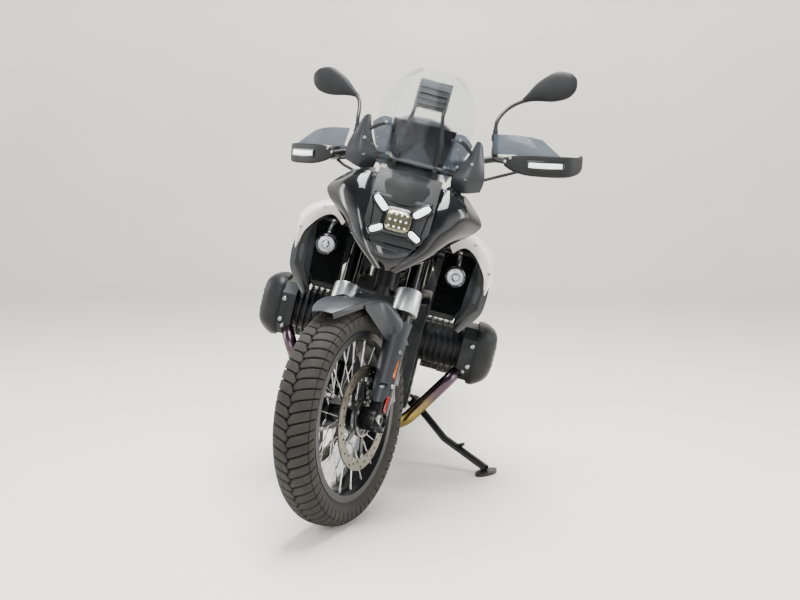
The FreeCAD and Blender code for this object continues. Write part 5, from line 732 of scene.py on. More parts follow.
# Orange and red acrylic lenses: clear and wet-looking, with their prisms drawn 3 mm coarse so that they show
amber_acrylic = finish("amber_acrylic", ("#e06a14", "#c9520c"), 10, (0.08, 0.16), 3, 0.02,
                       {"Transmission Weight": 0.3, "Coat Weight": 0.5})
red_acrylic = finish("red_acrylic", ("#a8121a", "#7d0a10"), 10, (0.08, 0.16), 3, 0.02,
                     {"Transmission Weight": 0.25, "Coat Weight": 0.5})
# Each reflector is turned round its leg from the front by an angle, and stands this far from the leg's middle
REFLECTOR_TURN = math.radians(64)
REFLECTOR_REACH = 33
outward_from_leg = math.sin(REFLECTOR_TURN) * LEFTWARD - math.cos(REFLECTOR_TURN) * LEG_BACK
round_leg = math.cos(REFLECTOR_TURN) * LEFTWARD - math.sin(REFLECTOR_TURN) * LEG_BACK


def on_leg(share):
    """Place on a reflector's side of the left leg at a share of the slider's length."""
    return on_fork(FORK_SPACING, 0.0, SLIDER_LENGTH * share) + outward_from_leg * REFLECTOR_REACH


piece("amber_reflectors", both(pad(on_leg(0.47), round_leg, LEG_UP, 12, 30, 8)), amber_acrylic, "steering",
      replaced=("front_reflectors",))
piece("red_reflectors", both(pad(on_leg(0.14), round_leg, LEG_UP, 9, 25, 8)), red_acrylic, "steering",
      replaced=("front_reflectors",))
bolted("reflector_bolts", on_leg(0.31)[None], outward_from_leg, 7, "steering")
# The calipers' bolts stand round the axle at these angles up from straight behind it
CALIPER_REACH = 150
CALIPER_FACE = 85.5
caliper_places = on_disc(CALIPER_REACH, np.radians((16, 30, 43)), FRONT_AXLE, CALIPER_FACE)
bolted("caliper_bolts", caliper_places, LEFTWARD, 7, "steering")
bridge_bolts = on_fork([-30.0, 30.0, -60.0, 60.0], [20.0, 20.0, 12.0, 12.0], SLIDER_LENGTH + 57)
bolted("bridge_bolts", bridge_bolts, LEG_UP, 7, "steering", pair=False)
# Turned preload caps stand on the fork tubes
cap = turned(((20, 0), (21, 4), (21, 9), (17, 12), (8, 13), (8, 18), (3, 19)), (0, 0, 0), (0, 0, 1), 40)
cap_places = on_fork([-FORK_SPACING, FORK_SPACING], 0.0, 745)
piece("fork_caps", repeated(cap, cap_places, LEG_UP), silver_aluminium, "steering")

# Nose, headlamp and side panels.
# A satin centre panel over a black lamp unit: a square projector behind clear acrylic, with four light guides set
# round it in an X. Polished panels sweep down to a point under it.

# Injection-moulded nylon: black and matt, with a spark-eroded grain, drawn at about 1 mm so that it shows
moulded_nylon = finish("moulded_nylon", ("#0c0d0e", "#131416"), 60, (0.5, 0.62), 0.9, 0.05,
                       {"Specular IOR Level": 0.3})
softened("nose_cover", moulded_nylon, 5, inset=3)
softened("headlamp_housing", moulded_nylon, 3)
softened("side_panels", black_abs, 5, inset=5)


def nose_front(height):
    """How far back the nose's face is at a height, along its drawn side view."""
    return np.interp(height, (763, 798, 884, 971, 1029, 1052), (31, 20, 42, 85, 132, 167))


def nose_net(rows, shares, wrap):
    """Net of points over the nose's face, at shares of each row's half width.

    A row's height goes from its middle's to its edge's, and its face wraps back, with the square of the share."""
    half_width, edge_height, middle_height, setback = np.array(rows, float).T[..., None]
    square = np.square(shares)
    height = middle_height + (edge_height - middle_height) * square
    return np.stack([half_width * shares, nose_front(height) + setback + wrap * square, height], -1)


# Half width, heights of the edge and of the middle, and how far back from the drawn side view
CENTRE_PANEL = ((90, 1046, 1052, 0), (94, 1018, 1022, -2.4), (96, 994, 986, -3.6), (92, 978, 958, -4))
CHIN = ((76, 836, 828, -5), (66, 818, 808, -5), (48, 796, 786, -5), (20, 770, 764, -5))
# The nose's centre is moulded in a nylon as dark and dull as the others, which glints less where it faces the light
nose_nylon = finish("dull_nylon", ("#08090a", "#0d0e0f"), 60, (0.58, 0.7), 0.9, 0.05, {"Specular IOR Level": 0.14})
piece("nose_centre_panel", panel(nose_net(CENTRE_PANEL, (-1, -0.6, 0, 0.6, 1), 14), 4), nose_nylon, "root",
      edge_mm=1.5)
piece("nose_chin", panel(nose_net(CHIN, (-1, -0.5, 0, 0.5, 1), 16), 4), black_abs, "root", edge_mm=1.5)
# Rows of points from the lamp outward, from the nose's top down to the point under the lamp
SIDE_PANEL = (((98, 190, 1032), (125, 172, 1028), (152, 186, 1025), (176, 225, 1021)),
              ((98, 122, 984), (140, 118, 986), (190, 148, 979), (238, 230, 960)),
              ((92, 86, 925), (135, 88, 925), (180, 126, 925), (232, 214, 924)),
              ((84, 62, 868), (112, 68, 868), (140, 94, 868), (166, 150, 872)),
              ((60, 40, 822), (80, 44, 818), (98, 62, 816), (114, 100, 818)),
              ((15, 22, 768), (25, 24, 765), (35, 34, 765), (43, 60, 770)))
piece("side_panel_skins", both(panel(SIDE_PANEL, 4, 48, 32)), black_abs, "root", edge_mm=1.5)

# The projector's height, and the way its face looks: it leans back 43 in 87
LENS_CENTRE = 907
FACE_NORMAL = unit((0, -87, 43))
FACE_UP = unit((0, 43, 87))


def on_face(across, height, proud=0.0):
    """Point of the lamp's face, which leans back as it rises, or proud of it."""
    return np.array((across, nose_front(height), height)) + FACE_NORMAL * proud


# Light guides of milky acrylic that glow a little
light_guide = finish("milky_acrylic", ("#f4f6f8", "#e6eaee"), 8, (0.1, 0.2), 3, 0.01,
                     {"Emission Color": linear("#ffffff"), "Emission Strength": 0.5})
# The guides on the left: how far out and how high their outer and inner ends are, and half their width
GUIDES = ((82, 966, 40, 930, 10.5), (74, 866, 38, 886, 9.5))
frame_shapes = [pad(on_face(0, LENS_CENTRE, 1), LEFTWARD, FACE_UP, 50, 43, 7, 0.45)]
guide_shapes = []
for outer_x, outer_z, inner_x, inner_z, half_width in GUIDES:
    outer_end, inner_end = on_face(outer_x, outer_z), on_face(inner_x, inner_z)
    run = outer_end - inner_end
    length = np.linalg.norm(run) / 2
    across = unit(np.cross(FACE_NORMAL, run))
    middle = (outer_end + inner_end) / 2
    frame_shapes.append(both(pad(middle - FACE_NORMAL * 1, run, across, length + 7, half_width + 6, 5, 0.5)))
    guide_shapes.append(both(pad(middle + FACE_NORMAL * 3, run, across, length, half_width, 5, 0.6)))
# Glossy black surround in the shape of an X, a few millimetres wider than each guide
piece("headlamp_cross", merged(*frame_shapes), black_abs, "root")
piece("light_guides", merged(*guide_shapes), light_guide, "root", replaced=("light_bars",))
# Vacuum-coated reflector plate of the projector, faintly gold
reflector_plate = finish("vacuum_coated_plate", ("#8f8c78", "#6d6a58"), 8, (0.12, 0.3), 5, 0.2, {"Metallic": 1.0})
piece("projector_plate", pad(on_face(0, LENS_CENTRE, 5), LEFTWARD, FACE_UP, 38, 32, 5, 0.5), reflector_plate, "root")
chips = [on_face(x, LENS_CENTRE + z, 10.2) for z in (-18, 0, 18) for x in (-24, -8, 8, 24)]
chip = turned(((3.2, 0), (3.2, 1.2), (2.2, 2), (0.4, 2.2)), (0, 0, 0), (0, 0, 1), 12)
piece("lamp_chips", repeated(chip, chips, FACE_NORMAL), light_guide, "root")
# Clear acrylic over the projector, tinged yellow by its depth
lamp_acrylic = finish("yellowed_clear_acrylic", ("#eceedd", "#e2e5d0"), 30, (0.03, 0.08), 12, 0.01,
                      {"Transmission Weight": 1.0, "IOR": 1.2, "Alpha": 0.35})
piece("projector_cover", pad(on_face(0, LENS_CENTRE, 8), LEFTWARD, FACE_UP, 41, 35, 8, 0.5), lamp_acrylic, "root",
      replaced=("headlamp_lens",))

# Cowls, white covers, radiators and fog lamps.
# Dark nylon cowls carry white painted covers over their front edges and shroud the finned radiators. A round fog
# lamp stands before each on a bolted strap.

softened("cowls", moulded_nylon, 5, inset=14)
softened("radiators", moulded_nylon, 4)
# White gloss paint on thin plastic covers: slightly warm, with clear reflections
white_gloss = finish("white_gloss_paint", ("#d9d8d2", "#cfcec7"), 160, (0.16, 0.24), 2.5, 0.003,
                     {"Coat Weight": 0.5, "Coat Roughness": 0.08})
# Rows of points from the cover's lower edge over its crease to its back edge, from the nose outward and down
WHITE_COVER = (((180, 320, 836), (164, 308, 864), (168, 352, 876)),
               ((212, 312, 862), (205, 300, 894), (210, 352, 906)),
               ((247, 312, 848), (253, 302, 882), (265, 354, 893)),
               ((281, 318, 808), (299, 314, 838), (315, 362, 849)),
               ((297, 328, 776), (315, 326, 786), (327, 372, 788)),
               ((305, 342, 728), (312, 340, 730), (321, 380, 728)))
piece("white_covers", both(panel(WHITE_COVER, 4, 44, 20)), white_gloss, "root", edge_mm=2,
      replaced=("white_panels",))
# Rows of points from the front to the back, from the cowl's top round its side to its foot
COWL_SKIN = (((196, 352, 900), (198, 420, 896), (196, 490, 890), (195, 556, 882)),
             ((266, 354, 888), (265, 420, 884), (262, 490, 876), (258, 556, 866)),
             ((313, 362, 846), (316, 425, 840), (311, 495, 832), (301, 556, 822)),
             ((324, 371, 782), (322, 430, 774), (315, 495, 766), (304, 556, 756)),
             ((319, 379, 722), (309, 430, 716), (294, 490, 716), (281, 556, 722)),
             ((290, 378, 650), (277, 425, 660), (260, 480, 670), (252, 540, 690)),
             ((250, 372, 596), (241, 410, 620), (233, 450, 645), (228, 500, 668)))
piece("cowl_skins", both(panel(COWL_SKIN, 4, 48, 32)), graphite_lacquer, "root", edge_mm=2)
# The cowl's front flank, between the radiator's frame and the outer skin
FLANK = (((262, 348, 832), (285, 338, 834), (305, 346, 838)),
         ((256, 348, 772), (288, 336, 770), (317, 348, 762)),
         ((253, 348, 720), (286, 334, 715), (319, 350, 705)),
         ((250, 350, 665), (280, 338, 660), (308, 356, 655)),
         ((242, 354, 600), (250, 348, 596), (258, 358, 592)))
piece("cowl_flanks", both(panel(FLANK, -4, 40, 16)), graphite_lacquer, "root", edge_mm=1.5)
cover_bolt_places = np.array(((243, 300, 880), (307, 318, 800)))
bolted("white_cover_bolts", cover_bolt_places, (0.25, -1, 0.3), 5, "root")

# Folded fins between flat tubes: a 3 mm sheet that zigzags as it rises, drawn coarser than the real core's
# so that it shows
CORE_RIDGES = 44
CORE_BOTTOM, CORE_TOP = 640, 836
heights = np.linspace(CORE_BOTTOM, CORE_TOP, 2 * CORE_RIDGES + 1)
depths = np.where(np.arange(len(heights)) % 2, 346.0, 350.5)
inner_edges = np.full(len(heights), 156.0)
outer_edges = np.interp(heights, (CORE_BOTTOM, 700, CORE_TOP), (236.0, 262.0, 262.0))
core = np.stack([np.stack([edge, depths, heights], 1) for edge in (inner_edges, outer_edges)], 1)
core = np.concatenate([core, core[:, ::-1] + (0, 3, 0)], 1)
piece("radiator_fins", both(capped(core)), powder_coat, "root", 60)

# Clear polycarbonate: lets light through with a faint grey tint
clear_sheet = finish("clear_polycarbonate", ("#dfe6ea", "#d6dee3"), 80, (0.02, 0.05), 20, 0.001,
                     {"Transmission Weight": 1.0, "IOR": 1.1, "Alpha": 0.45})
FOG_LAMP = np.array((205, 217, 776))
FORWARD = np.array((0, -1.0, 0))
softened("fog_lamps", moulded_nylon, 3)


def tube(route, radius, stations=40, around=12):
    """Round bar along a smooth curve through its points: a circle square to the curve at each station.

    The circle's first direction is the curve's tangent crossed with the axis that it keeps furthest from."""
    route = np.asarray(route, float)
    line = spline_weights(len(route), stations) @ route
    ahead = unit(np.gradient(line, axis=0))
    least = np.eye(3)[np.argmin(np.abs(ahead).max(0))]
    across = unit(np.cross(ahead, least))
    over = np.cross(ahead, across)
    turn = np.linspace(0, 2 * math.pi, around, endpoint=False)[None, :, None]
    reach = np.broadcast_to(radius, (stations,))[:, None, None]
    return capped(line[:, None] + reach * (np.cos(turn) * across[:, None] + np.sin(turn) * over[:, None]))


bezel = turned(((24, -3), (30, -3), (31.5, 1), (31, 5), (29, 7), (26.5, 6), (25.5, 1), (24, 0)), FOG_LAMP, FORWARD, 64)
piece("fog_lamp_bezels", both(bezel), black_abs, "root")
dish = turned(((26, 0.5), (22, 1.5), (15, 3.0), (12, 1.5), (10, 4.5), (6, 6.2), (1, 6.6)), FOG_LAMP, FORWARD, 64)
piece("fog_lamp_dishes", both(dish), silver_aluminium, "root")
cover = turned(((26.5, 4), (26, 7.5), (20, 9.5), (10, 10.8), (1, 11.2)), FOG_LAMP, FORWARD, 64)
piece("fog_lamp_covers", both(cover), clear_sheet, "root")
fog_strap = tube(((205, 245, 806), (205, 262, 826), (204, 300, 838), (202, 352, 836)), 7, 24)
piece("fog_lamp_straps", both(fog_strap), powder_coat, "root")
strap_bolts = np.array(((205, 247, 812), (204, 292, 846)))
bolted("fog_strap_bolts", strap_bolts, (0, -0.5, 1), 6, "root")

# Cockpit.
# A clear bowed screen with a dark cover and the display behind it, opaque wind deflectors on brackets beside it,
# and a holder for a navigation device on a bent tube.

dress(powder_coat, "screen_carrier")
softened("display", black_abs, 6)
softened("navigation_holder", moulded_nylon, 5)
# Ribs across the holder's face, which leans back 0.9 for each 1 that it rises
holder_ribs = [tube([(side * 46, 296.5 + 0.9 * rise, 1262 + rise) for side in (-1, 1)], 2.4, 8, 8)
               for rise in (0, 18, 36, 54)]
piece("holder_ribs", merged(*holder_ribs), moulded_nylon, "root")
# The screen's foot, its half width, how far it leans back and rises, then shares of these for each row
SCREEN_BACK, SCREEN_FOOT = 138, 1040
SCREEN_HALF, SCREEN_LEAN, SCREEN_RISE = 146, 234, 336
SCREEN_ROWS = ((0, 0.64, 0), (0.3, 0.94, 0.24), (0.6, 1, 0.56), (0.86, 0.8, 0.86), (1, 0.46, 1))
SCREEN_BOW = ((-1, 0.34), (-0.6, 0.1), (0, 0), (0.6, 0.1), (1, 0.34))
screen_net = [[(SCREEN_HALF * half * a, SCREEN_BACK + SCREEN_LEAN * back + SCREEN_HALF * b,
                SCREEN_FOOT + SCREEN_RISE * rise) for a, b in SCREEN_BOW] for rise, half, back in SCREEN_ROWS]
piece("screen_sheet", panel(screen_net, -4, 60, 48), clear_sheet, "root", edge_mm=1,
      replaced=("windscreen",))
# The instrument cover's rows: half width, height, setback, and how far it wraps back at its edges
COVER_ROWS = ((62, 1224, 304, 8), (90, 1196, 290, 12), (80, 1116, 266, 12), (86, 1046, 240, 10))
instrument_net = [[(half * share, back + hollow * share**2, height - 6 * share**2) for share in (-1, -0.7, 0, 0.7, 1)]
                  for half, height, back, hollow in COVER_ROWS]
# Dark green-grey plastic, smoother than the grained nylon round it
instrument_green = finish("green_grey_nylon", ("#23282a", "#1b2022"), 90, (0.34, 0.46), 1.5, 0.02)
piece("instrument_cover", panel(instrument_net, 3), instrument_green, "root", edge_mm=1)
# Rows of points from the deflector's inner edge to its outer edge, from its top down
BLADE = (((166, 254, 1191), (176, 246, 1192), (187, 253, 1184)),
         ((148, 242, 1132), (178, 228, 1136), (205, 246, 1130)),
         ((118, 238, 1076), (170, 220, 1078), (217, 244, 1080)),
         ((124, 242, 1027), (168, 231, 1029), (213, 249, 1043)))
piece("deflector_blades", both(panel(BLADE, 3.5, 36, 24)), graphite_lacquer, "root", edge_mm=1,
      replaced=("wind_deflectors",))
# Smoked polycarbonate: grey, and half of the light comes through
smoked_sheet = finish("smoked_polycarbonate", ("#565f69", "#4a525c"), 80, (0.08, 0.16), 20, 0.001,
                      {"Transmission Weight": 0.45, "IOR": 1.2, "Alpha": 0.8})
WINGLET = (((100, 240, 1198), (128, 243, 1198), (158, 250, 1174)),
           ((90, 236, 1130), (112, 239, 1126), (136, 244, 1116)),
           ((80, 232, 1080), (92, 235, 1062), (104, 240, 1046)))
piece("deflector_winglets", both(panel(WINGLET, 2.5)), smoked_sheet, "root", edge_mm=0.8)
bracket_route = ((92, 252, 1172), (112, 246, 1178), (136, 246, 1170), (160, 244, 1150))
low_bracket_route = ((84, 250, 1084), (108, 244, 1086), (134, 240, 1082), (158, 236, 1070))
piece("deflector_brackets", both(merged(tube(bracket_route, 6, 24), tube(low_bracket_route, 6, 24))), powder_coat,
      "root")
blade_bolts = np.array(((116, 236, 1182), (126, 234, 1102), (90, 230, 1090), (168, 226, 1120), (160, 224, 1072)))
bolted("deflector_bolts", blade_bolts, (0, -1, 0.25), 5, "root")

# Handlebar, hand guards and mirrors.
# Nylon guards wrap the grips from the bar's ends, with smoked shields above them and lit indicator strips let into
# their faces. Mirrors stand on bent stems from the bar.


def strap(stations, around=20, samples=40, squareness=0.5):
    """Moulding along a path in the plan: each station is x, y, z, half its height and half its thickness.

    A superellipse stands at each station of the smoothed path, its thickness square to the path in the plan."""
    line = spline_weights(len(stations), samples) @ np.asarray(stations, float)
    ahead = unit(np.gradient(line[:, :2], axis=0))
    side = np.stack([ahead[:, 1], -ahead[:, 0], np.zeros(samples)], 1)
    wide, high = squared_round(around, squareness)
    rings = line[:, None, :3] + side[:, None] * (line[:, 4, None] * wide)[..., None]
    rings[..., 2] += line[:, 3, None] * high
    return capped(rings)


def lofted(rings, rows, columns):
    """Closed body through rings of points, weighted by the closed spline round each ring and the open one along."""
    rings = np.asarray(rings, float)
    return capped(np.einsum("ri,ijk,cj->rck", spline_weights(rings.shape[0], rows), rings,
                            spline_weights(rings.shape[1], columns, closed=True)))


dress(powder_coat, "handlebar")
dress(black_rubber, "handlebar_grips")
softened("bar_controls", black_anodised, 2)
# Stations from beside the grip's inner end round the front to the bar's end
GUARD = ((298, 405, 1100, 13, 6), (325, 405, 1096, 24, 6.5), (368, 411, 1093, 32, 7), (430, 433, 1092, 33, 7),
         (480, 459, 1094, 32, 7), (499, 492, 1099, 28, 7), (502, 530, 1108, 24, 7), (496, 557, 1116, 20, 6))
piece("hand_guard_shells", both(strap(GUARD)), moulded_nylon, "steering", edge_mm=1,
      replaced=("hand_guards",))
LIP = ((372, 404, 1093, 14, 3), (425, 425, 1093, 15, 3), (478, 450, 1095, 14, 3))
piece("indicator_bezels", both(strap(LIP)), black_abs, "steering", edge_mm=1)
STRIP = ((378, 402.5, 1093, 7.5, 3.2), (425, 421, 1093, 8, 3.2), (472, 443.5, 1095, 7.5, 3.2))
piece("indicator_strips", both(strap(STRIP)), light_guide, "steering", edge_mm=1,
      replaced=("front_indicators",))
# Rows of points from the inner edge to the outer one, from the guard up
SHIELD = (((262, 406, 1120), (330, 408, 1122), (400, 422, 1123), (462, 450, 1124)),
          ((256, 412, 1150), (318, 415, 1152), (378, 430, 1152), (430, 452, 1148)),
          ((253, 424, 1182), (304, 428, 1183), (354, 441, 1180), (398, 458, 1172)))
piece("shield_sheets", both(panel(SHIELD, 3)), smoked_sheet, "steering", edge_mm=1,
      replaced=("hand_shields",))
arm_route = ((300, 408, 1100), (286, 416, 1102), (268, 430, 1106), (252, 452, 1108))
piece("guard_arms", both(tube(arm_route, 8, 24)), powder_coat, "steering")
guard_bolts = np.array(((302, 398, 1100), (318, 398, 1112)))
bolted("guard_bolts", guard_bolts, FORWARD, 5, "steering")

# The mirror's inner end, its length, height and depth, then for each station shares of these: how far along it is,
# its middle, half its height and half its depth
MIRROR_OUT, MIRROR_BACK, MIRROR_UP = 288, 546, 1298
MIRROR_LENGTH, MIRROR_HEIGHT, MIRROR_DEPTH = 180, 95, 15
MIRROR = ((0, -0.04, 0.07, 0.3), (0.12, 0.12, 0.15, 0.6), (0.3, 0.33, 0.32, 0.85), (0.6, 0.5, 0.49, 1),
          (0.85, 0.55, 0.42, 0.85), (0.97, 0.58, 0.24, 0.5), (1, 0.6, 0.1, 0.2))
along, rise, half_high, half_deep = np.array(MIRROR).T[..., None]
turn = np.linspace(0, 2 * math.pi, 12, endpoint=False)
# The shell bulges forward, and its back is flatter
depths = MIRROR_BACK + MIRROR_DEPTH * half_deep * np.sin(turn) * np.where(np.sin(turn) < 0, 1, 0.4)
heights = MIRROR_UP + MIRROR_HEIGHT * (rise + half_high * np.cos(turn))
mirror_rings = np.stack([np.broadcast_to(MIRROR_OUT + MIRROR_LENGTH * along, depths.shape), depths, heights], -1)
piece("mirror_shells", both(lofted(mirror_rings, 40, 48)), moulded_nylon, "steering",
      replaced=("mirrors",))
# The glass fills 0.86 of the shell's height, flush with its back
glass_net = [[(MIRROR_OUT + 2 + 176 * along, MIRROR_BACK + 7.5,
               MIRROR_UP + MIRROR_HEIGHT * (rise + half_high * 0.86 * side)) for side in (-1, -0.5, 0.5, 1)]
             for along, rise, half_high, half_deep in MIRROR[1:6]]
# Silvered glass: a clean mirror with a cool tint
mirror_glass = finish("silvered_glass", ("#c9ccd0", "#c3c6ca"), 60, (0.02, 0.05), 30, 0.001, {"Metallic": 1.0})
piece("mirror_glasses", both(panel(glass_net, 2)), mirror_glass, "steering", edge_mm=0.5)
stem_route = ((243, 455, 1196), (244, 458, 1222), (252, 480, 1250), (270, 512, 1278), (296, 542, 1298))
boss = turned(((11, 0), (11, 30), (9, 34), (9, 52), (12, 54), (12, 70), (9, 74), (8, 88)), (243, 464, 1112),
              (0, -0.12, 1), 24)
piece("mirror_stems", both(merged(tube(stem_route, 6.5, 40), boss)), powder_coat, "steering",
      replaced=("mirrors",))

# Engine.
# A sand-cast block with finned barrels, heads and rounded covers, painted dark, over a pressed aluminium skid plate.
# Two pipes of bare stainless leave the heads, which the exhaust's heat has tinted.


def upright(points, body):
    """Points of the row back in millimetres on the upright machine, the other way round from in_row."""
    axes, origin = PLACES[body]
    return (points - origin) @ axes.T / MM


def landed(node, places, direction):
    """Where rays along a direction on the upright machine first meet a node, and the outward normals there."""
    source = frame["nodes"][node]
    body = source["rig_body"]
    axes = PLACES[body][0]
    ahead = Vector(np.asarray(direction, float) @ axes)
    corners = [corner.co for corner in source.data.vertices]
    surface = BVHTree.FromPolygons(corners, [face.vertices for face in source.data.polygons])
    spots, normals = [], []
    for place in places:
        spot, normal, face, distance = surface.ray_cast(Vector(in_row(np.asarray(place, float), body)) - ahead, ahead)
        if spot:
            spots.append(upright(np.array(spot), body))
            normals.append(np.array(normal) @ axes.T)
    return np.array(spots), np.array(normals)


# Engine castings painted dark grey: satin, with the mould's sand grain showing through the paint
painted_casting = finish("painted_casting", ("#1d1e21", "#161719"), 45, (0.42, 0.56), 1.6, 0.12,
                         {"Metallic": 0.3, "Specular IOR Level": 0.3})
# The head covers' die casting is smoother and darker
dark_casting = finish("die_casting", ("#151618", "#0f1012"), 45, (0.4, 0.55), 1.4, 0.08,
                      {"Metallic": 0.25, "Specular IOR Level": 0.3})
dress(painted_casting, "cylinders")
softened("engine_block", painted_casting, 7)
# The head cover's middle and half sizes, then for each ring how far out it is, its share of them and its rise
HEAD_BACK, HEAD_UP = 570, 506
HEAD_HALF_LENGTH, HEAD_HALF_HEIGHT = 98, 103
HEAD_COVER = ((330, 1, 0), (344, 1.02, 0), (362, 0.97, 2), (384, 0.84, 4), (398, 0.66, 6), (403, 0.42, 7))
out, spread, shift = np.array(HEAD_COVER).T[..., None]
round_y, round_z = squared_round(72, 0.58)
cover_rings = np.stack([out + 0 * round_y, HEAD_BACK + HEAD_HALF_LENGTH * spread * round_y,
                        HEAD_UP + shift + HEAD_HALF_HEIGHT * spread * round_z], -1)
piece("head_cover_castings", both(lofted(cover_rings, 30, 72)), dark_casting, "root",
      replaced=("head_covers",))
rib_shapes = [pad((398, HEAD_BACK, HEAD_UP + rise), (0, 1, 0), (0, 0, 1), 44, 4, 6, 0.4) for rise in (-24, -4, 16, 36)]
piece("head_cover_ribs", both(merged(*rib_shapes)), dark_casting, "root")
head_spots, head_normals = landed("cylinders", ((321, 300, 539), (309, 300, 449), (321, 300, 470)), (0, 1, 0))
bolted("head_bolts", head_spots, head_normals, 8, "root")
# Crankcase covers, each with a ring of bolts: the gearbox's behind the cylinder and the starter's before it.
# Each is a place on the case, a radius, the bolts' distance from its middle and their number.
CASE_COVERS = (((148, 745, 362), 76, 68, 7), ((148, 456, 336), 52, 45, 5))
case_shapes, case_bolts = [], []
for place, radius, bolt_reach, count in CASE_COVERS:
    profile = ((radius, -2), (radius, 6), (radius - 4, 10), (radius * 0.76, 12), (radius * 0.7, 8), (radius * 0.36, 8),
               (radius * 0.3, 13), (1, 14))
    case_shapes.append(turned(profile, place, LEFTWARD, 72))
    turns = np.arange(count) * 2 * math.pi / count
    case_bolts.append(on_disc(bolt_reach, turns, np.array(place), 10))
piece("case_covers", both(merged(*case_shapes)), painted_casting, "root")
bolted("case_bolts", np.concatenate(case_bolts), LEFTWARD, 5, "root")

# Bare stainless that the exhaust's heat has tinted: purple by the heads, straw gold lower down, then plain steel
heat_tint, tree, shader, coordinates = new_material("heat_tinted_stainless", "#8f8e8b",
                                                    {"Metallic": 1.0, "Roughness": 0.24})
upright_place = body_coordinates(tree, coordinates, "root")
smudge = add_node(tree, "TexNoise", {"Vector": coordinates, "Scale": per_size(60), "Detail": 3.0})
drift = add_node(tree, "MapRange", (smudge, 0.3, 0.7, -0.03, 0.03))
setback, rise = (add_node(tree, "Math", (add_node(tree, "SeparateXYZ", (upright_place,), axis), drift),
                          operation="ADD") for axis in ("Y", "Z"))
heated = add_node(tree, "MapRange", (rise, 0.29, 0.37))
near_head = add_node(tree, "Mix", {0: heated, 6: linear("#86733f"), 7: linear("#4c3f47")}, 2, data_type="RGBA")
cool = add_node(tree, "MapRange", (setback, 0.5, 0.66))
tint = add_node(tree, "Mix", {0: cool, 6: near_head, 7: linear("#94918b")}, 2, data_type="RGBA")
set_inputs(tree, shader, {"Base Color": tint})
dress(heat_tint, "exhaust_headers")
softened("skid_plate", silver_aluminium, 1.5)
softened("silencer", stainless, 7)
# The outlet is a turned ring on the silencer's rear face, sooty inside
outlet_spot, outlet_axis = landed("silencer", ((-185, 1700, 500),), FORWARD)
# Soot: black, with no sheen at all
soot = finish("soot", ("#0a0908", "#141211"), 20, (0.8, 0.95), 2, 0.05)
outlet_ring = turned(((27, -2), (34, -2), (36, 3), (34, 9), (29, 9), (27, 3)), outlet_spot[0], outlet_axis[0])
piece("silencer_outlet", outlet_ring, stainless, "root")
outlet_bore = turned(((27, 0.4), (27, 2), (14, 1.4), (1, 1.4)), outlet_spot[0], outlet_axis[0])
piece("silencer_bore", outlet_bore, soot, "root")

# Frame, swingarm and tail.
# Plates and tubes are powder coated black. The covers under the seats, the plate's carrier and the wheel's cover are
# grained nylon.

dress(powder_coat, "subframe", "rear_shock", "footrests", "stand_bracket", "side_stand_leg")
softened("main_frame", powder_coat, 4)
softened("swingarm", powder_coat, 6)
drive_cover = turned(((64, -3), (64, 3), (58, 7), (34, 8), (28, 12), (8, 13), (8, 10), (0.5, 10)),
                     REAR_AXLE + (158, 0, 0), LEFTWARD, 64)
piece("drive_cover", drive_cover, dark_casting, "root")
bolted("drive_bolts", on_disc(47, np.radians(np.arange(6) * 60 + 30), REAR_AXLE, 165.5), LEFTWARD, 6, "root",
       pair=False)
# Ribbed rubber sleeves on the rider's footrests
sleeve = [(14.2, 0)] + [(16.5 + 1.5 * (i % 2), 2 + 4 * i) for i in range(20)] + [(14, 82), (1, 83)]
piece("footrest_rubbers", both(turned(sleeve, (230, 872, 372), LEFTWARD, 40)), black_rubber, "root")
softened("tail_unit", moulded_nylon, 5)
softened("rear_mudguards", moulded_nylon, 1.5)
softened("number_plate", white_gloss, 1)
softened("tail_lamp", red_acrylic, 4)
softened("luggage_rack", powder_coat, 1.5)

# Tank and side covers.
# A painted shell in one sweep hides the tank under it. Its side covers run from the cowls back to the rider's
# knees, and the filler's flap turns on a collar of black anodised aluminium.

# Each ring of the shell: how far back, half its width, its low edge and its crown
TANK = ((505, 90, 838, 968), (545, 128, 818, 990), (612, 154, 803, 1001), (690, 146, 801, 984), (770, 116, 801, 936),
        (846, 76, 801, 866))
# Points round a ring, from its crown: shares of half its width and of its height
TANK_RING = ((0, 1), (0.5, 0.985), (0.85, 0.86), (1, 0.5), (0.9, 0.06), (0.4, 0), (0, 0), (-0.4, 0), (-0.9, 0.06),
             (-1, 0.5), (-0.85, 0.86), (-0.5, 0.985))
tank_rings = [[(half * a, y, low + (high - low) * b) for a, b in TANK_RING] for y, half, low, high in TANK]
piece("tank_shell", lofted(tank_rings, 60, 84), graphite_lacquer, "root", replaced=("fuel_tank",))
# The side cover's rings: how far back, then points round it from its inner upper corner
COVER_RINGS = ((563, ((150, 905), (240, 880), (292, 800), (296, 720), (262, 655), (200, 650), (150, 720), (130, 840))),
               (680, ((140, 900), (215, 865), (248, 790), (246, 730), (215, 690), (170, 690), (130, 740), (120, 840))),
               (780, ((125, 880), (175, 850), (195, 800), (190, 765), (165, 740), (130, 740), (118, 770), (116, 840))),
               (850, ((100, 850), (128, 835), (138, 805), (134, 785), (122, 775), (118, 775), (114, 790), (100, 830))))
cover = lofted([[(x, y, z) for x, z in outline] for y, outline in COVER_RINGS], 48, 72)
piece("tank_covers", both(cover), graphite_lacquer, "root")
FILLER = np.array((0, 612, 1001))
collar = turned(((47.5, -6), (47.5, 0), (49, 3), (55, 3), (58, 0), (58, -6)), FILLER, (0, 0, 1), 72)
piece("filler_collar", collar, black_anodised, "root")
softened("filler_flap", graphite_lacquer, 2)
lock = turned(((11, 8), (11, 12.2), (9, 13), (3, 13), (2.4, 11.6), (0.2, 11.6)), FILLER + (0, 12, 0), (0, 0, 1), 32)
piece("filler_lock", lock, zinc_steel, "filler_cap")

